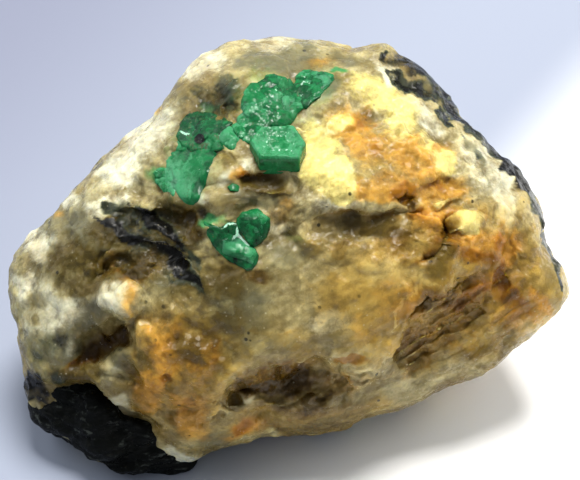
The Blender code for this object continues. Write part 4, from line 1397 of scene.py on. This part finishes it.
# The emerald pieces that lie in the show face, node by node, each of one or more grains.
GRAINS: dict[str, tuple[Grain, ...]] = {
    "upper_cluster": (
        Grain(((241, 105), (243, 92), (250, 83), (264, 80), (266, 76), (276, 75), (282, 78), (290, 79),
          (294, 85), (300, 88), (297, 95), (301, 100), (303, 108), (298, 113), (294, 121), (288, 126),
          (270, 127), (262, 139), (252, 146), (243, 141), (238, 130), (237, 119)), 0.42, 0.58, 0.0, (), 10,
          detail=72, ridge=0.26, ridge_size=0.95),
        Grain(((262, 84), (265, 76), (274, 74), (281, 79), (281, 87), (272, 91), (264, 90)), 0.44, 0.55,
          seed=1),
        Grain(((281, 93), (288, 88), (298, 95), (303, 106), (296, 117), (284, 114), (279, 104)), 0.5, 0.7,
          seed=4),
        Grain(((239, 107), (247, 101), (259, 103), (266, 109), (262, 118), (250, 122), (240, 117)), 0.45,
          0.68, seed=5),
        Grain(((264, 93), (273, 89), (281, 94), (281, 107), (273, 112), (265, 105)), 0.46, 0.62, seed=3)),
    "top_right_cluster": (
        Grain(((297, 76), (303, 71), (312, 70), (322, 71), (333, 75), (334, 80), (329, 86), (324, 91),
          (319, 98), (313, 102), (306, 109), (301, 107), (297, 97), (292, 90), (295, 82)), 0.35, 0.45, 0.0,
          (), 20, detail=60, ridge=0.24, ridge_size=0.9, fade=(0.0, 0.12)),
        Grain(((312, 74), (322, 71), (334, 76), (330, 84), (321, 90), (313, 83)), 0.5, 0.7, seed=12),
        Grain(((298, 78), (306, 73), (314, 75), (312, 83), (302, 86)), 0.45, 0.5, seed=11)),
    "left_band": (
        Grain(((180, 124), (186, 116), (197, 111), (208, 113), (224, 118), (233, 123), (224, 131),
          (221, 140), (224, 149), (206, 153), (190, 152), (182, 146), (177, 136)), 0.4, 0.2, 0.0, (), 21,
          detail=56, ridge=0.2, ridge_size=1.0, crust=0.45, fade=(0.0, -0.11)),
        Grain(((172, 146), (176, 134), (184, 130), (194, 136), (198, 148), (188, 155), (176, 154)), 0.25,
          0.42, seed=22)),
    "pale_grain": (
        Grain(((220, 131), (224, 126), (230, 126), (237, 132), (241, 141), (236, 149), (228, 152),
          (221, 147), (218, 139)), 0.42, 0.75, 0.1, seed=23),
        Grain(((231, 125), (240, 121), (249, 127), (250, 135), (242, 139), (234, 132)), 0.35, 0.85, 0.4,
          seed=24)),
    "left_blade": (
        Grain(((165, 160), (168, 149), (181, 141), (199, 142), (212, 148), (219, 157), (218, 166),
          (212, 173), (208, 180), (203, 190), (199, 200), (195, 209), (188, 207), (182, 201), (176, 192),
          (167, 182)), 0.42, 0.56, 0.0, (Facet(188, 176, 0.3, (-0.12, 0.05, 1.0)),
          Facet(207, 172, 0.22, (0.75, -0.25, 1.0)), Facet(190, 150, 0.3, (0.05, 0.5, 1.0)),
          Facet(173, 168, 0.26, (-0.6, 0.1, 1.0)), Facet(192, 201, 0.22, (-0.1, -0.6, 1.0))), 25, detail=64,
          ridge=0.08, ridge_size=1.7, fade=(-0.13, -0.02)),
        Grain(((153, 173), (160, 168), (172, 168), (178, 182), (174, 196), (164, 192), (156, 182)), 0.22,
          0.72, 0.25, (), 26, detail=40, ridge=0.25, ridge_size=0.6)),
    "lower_prism": (
        Grain(((203, 221), (212, 224), (221, 228), (229, 222), (239, 223), (240, 233), (249, 245),
          (256, 249), (259, 256), (257, 264), (252, 270), (247, 271), (240, 267), (230, 262), (221, 254),
          (213, 246), (207, 235)), 0.3, 0.3, 0.0, (), 28, detail=56, ridge=0.12, ridge_size=1.2),
        Grain(((220, 239), (228, 235), (238, 234), (248, 245), (255, 249), (258, 256), (254, 264),
          (249, 269), (240, 266), (230, 260), (222, 252)), 0.62, 0.62, 0.0,
          (Facet(236, 243, 0.42, (0.05, 0.35, 1.0)), Facet(236, 256, 0.36, (-0.35, -0.9, 1.0)),
          Facet(254, 259, 0.3, (0.7, -0.4, 1.0)), Facet(222, 245, 0.3, (-0.9, 0.1, 1.0))), 27, detail=56,
          ridge=0.06, ridge_size=1.3)),
    "lower_grains": (
        Grain(((237, 218), (243, 212), (252, 209), (258, 208), (264, 214), (269, 219), (269, 229),
          (266, 237), (261, 244), (254, 247), (247, 241), (240, 233), (236, 226)), 0.4, 0.34, 0.0, (), 31,
          detail=60, ridge=0.24, ridge_size=0.8, fade=(0.08, 0.06)),
        Grain(((252, 219), (262, 215), (269, 225), (265, 236), (256, 237), (251, 229)), 0.55, 0.55,
          seed=32)),
    "speck": (
        Grain(((228, 187), (233, 184), (240, 187), (238, 191), (230, 191)), 0.3, 0.35, seed=35),),
}


@dataclass(frozen=True)
class EmeraldGroup:
    """The emerald pieces that lie in the show face."""

    pieces: dict[str, tuple[Grain, ...]] = field(default_factory=lambda: GRAINS)

    def build(self, stone: Stone, material: Material) -> None:
        """Make one joined mesh for each emerald node."""
        for name, grains in self.pieces.items():
            parts = [grain.surface(stone) for grain in grains]
            starts = np.cumsum([0] + [len(world) for world, _, _ in parts])
            points = np.concatenate([world for world, _, _ in parts])
            faces = np.concatenate([quads + start for (_, quads, _), start in zip(parts, starts)])
            marks = {key: np.concatenate([part[key] for _, _, part in parts]) for key in parts[0][2]}
            enlist(link_mesh(name, points, faces, material, marks), "emerald", f"emerald_{name}")


# ---- stage
def hang(name: str, data: bpy.types.ID, place: Vector, way: Vector) -> Piece:
    """Link a new object that holds the data at a place in mm and looks along the way."""
    thing = bpy.data.objects.new(name, data)
    thing.location = place * MM
    thing.rotation_mode = "QUATERNION"
    thing.rotation_quaternion = way.to_track_quat("-Z", "Y")
    bpy.context.scene.collection.objects.link(thing)
    return thing


@dataclass(frozen=True)
class Lamp:
    """A round soft light aimed at the stone: place and width in mm, power in watts and colour."""

    name: str
    place: Triple
    width: float
    power: float
    tint: Triple

    def build(self) -> None:
        """Hang the lamp, aimed at the middle of the show face."""
        light = bpy.data.lights.new(self.name, "AREA")
        light.shape = "DISK"
        light.size = self.width * MM
        light.energy = self.power
        light.color = self.tint
        place = Vector(self.place)
        hang(self.name, light, place, Vector(FACE.middle) - place)


@dataclass(frozen=True)
class FloorFinish:
    """Pale floor with painted light falloff: bluer and darker to the far left, white to the near right."""

    way: Triple = (0.8, -0.6, 0.0)
    # Painted light on the floor: dim bluish far side, middle tone, white near side where the light falls
    # most.
    far: Triple = (0.18, 0.195, 0.265)
    middle: Triple = (0.275, 0.305, 0.385)
    near: Triple = (1.0, 1.0, 1.0)

    def make(self) -> Material:
        """Three tones that follow each other along the way over the floor, in metres."""
        recipe = Recipe("pale_floor")
        along = recipe.vector("DOT_PRODUCT", recipe.place, self.way, output="Value")
        tint = recipe.mix(along.step(-0.060, -0.010), self.far, self.middle)
        tint = recipe.mix(along.step(0.000, 0.020), tint, self.near)
        return recipe.finish(Base_Color=tint, Roughness=0.9)


@dataclass
class Stage:
    """Pale floor, soft lamps, sky light and the camera on the show face's eye point."""

    floor_half: float = 1500.0
    sensor: float = 36.0
    sky: Triple = (0.90, 0.95, 1.0)
    sky_strength: float = 0.36
    lamps: tuple[Lamp, ...] = (
        Lamp("key", (110.0, 300.0, 1020.0), 420.0, 18.0, (1.0, 0.975, 0.93)),
        Lamp("window", (-700.0, 360.0, 640.0), 900.0, 5.6, (0.93, 0.97, 1.0)),
        Lamp("fill", (700.0, 360.0, 640.0), 900.0, 4.6, (1.0, 0.97, 0.92)),
    )

    def build(self) -> None:
        """Lay the floor, hang the lamps and set the camera."""
        half = self.floor_half
        corners = np.array([[-half, -half, 0.0], [half, -half, 0.0], [half, half, 0.0], [-half, half, 0.0]])
        link_mesh("floor", corners, np.array([[0, 1, 2, 3]]), FloorFinish().make())
        for lamp in self.lamps:
            lamp.build()
        world = bpy.data.worlds.new("sky")
        world.use_nodes = True
        background = world.node_tree.nodes["Background"]
        background.inputs["Color"].default_value = (*self.sky, 1.0)
        background.inputs["Strength"].default_value = self.sky_strength
        scene = bpy.context.scene
        scene.world = world
        scene.view_settings.view_transform = "Standard"
        lens = bpy.data.cameras.new("camera")
        lens.sensor_width = self.sensor
        lens.lens = self.sensor * FACE.taper / (GRID_WIDTH * GRID)
        lens.clip_start = 0.01
        lens.clip_end = 20.0
        outward = Vector(FACE.axes[2])
        scene.camera = hang("camera", lens, Vector(FACE.middle) + outward * FACE.taper, -outward)


def main() -> None:
    """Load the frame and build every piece."""
    logging.basicConfig(level=logging.INFO, format="%(name)s %(message)s")
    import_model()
    Stage().build()
    stone = Stone()
    stone.build(StoneFinish().make())
    SchistKnob().build(stone, SchistFinish().make())
    emerald = EmeraldFinish().make()
    HexagonalCrystal().build(stone, emerald)
    EmeraldGroup().build(stone, emerald)


if __name__ == "__main__":
    main()
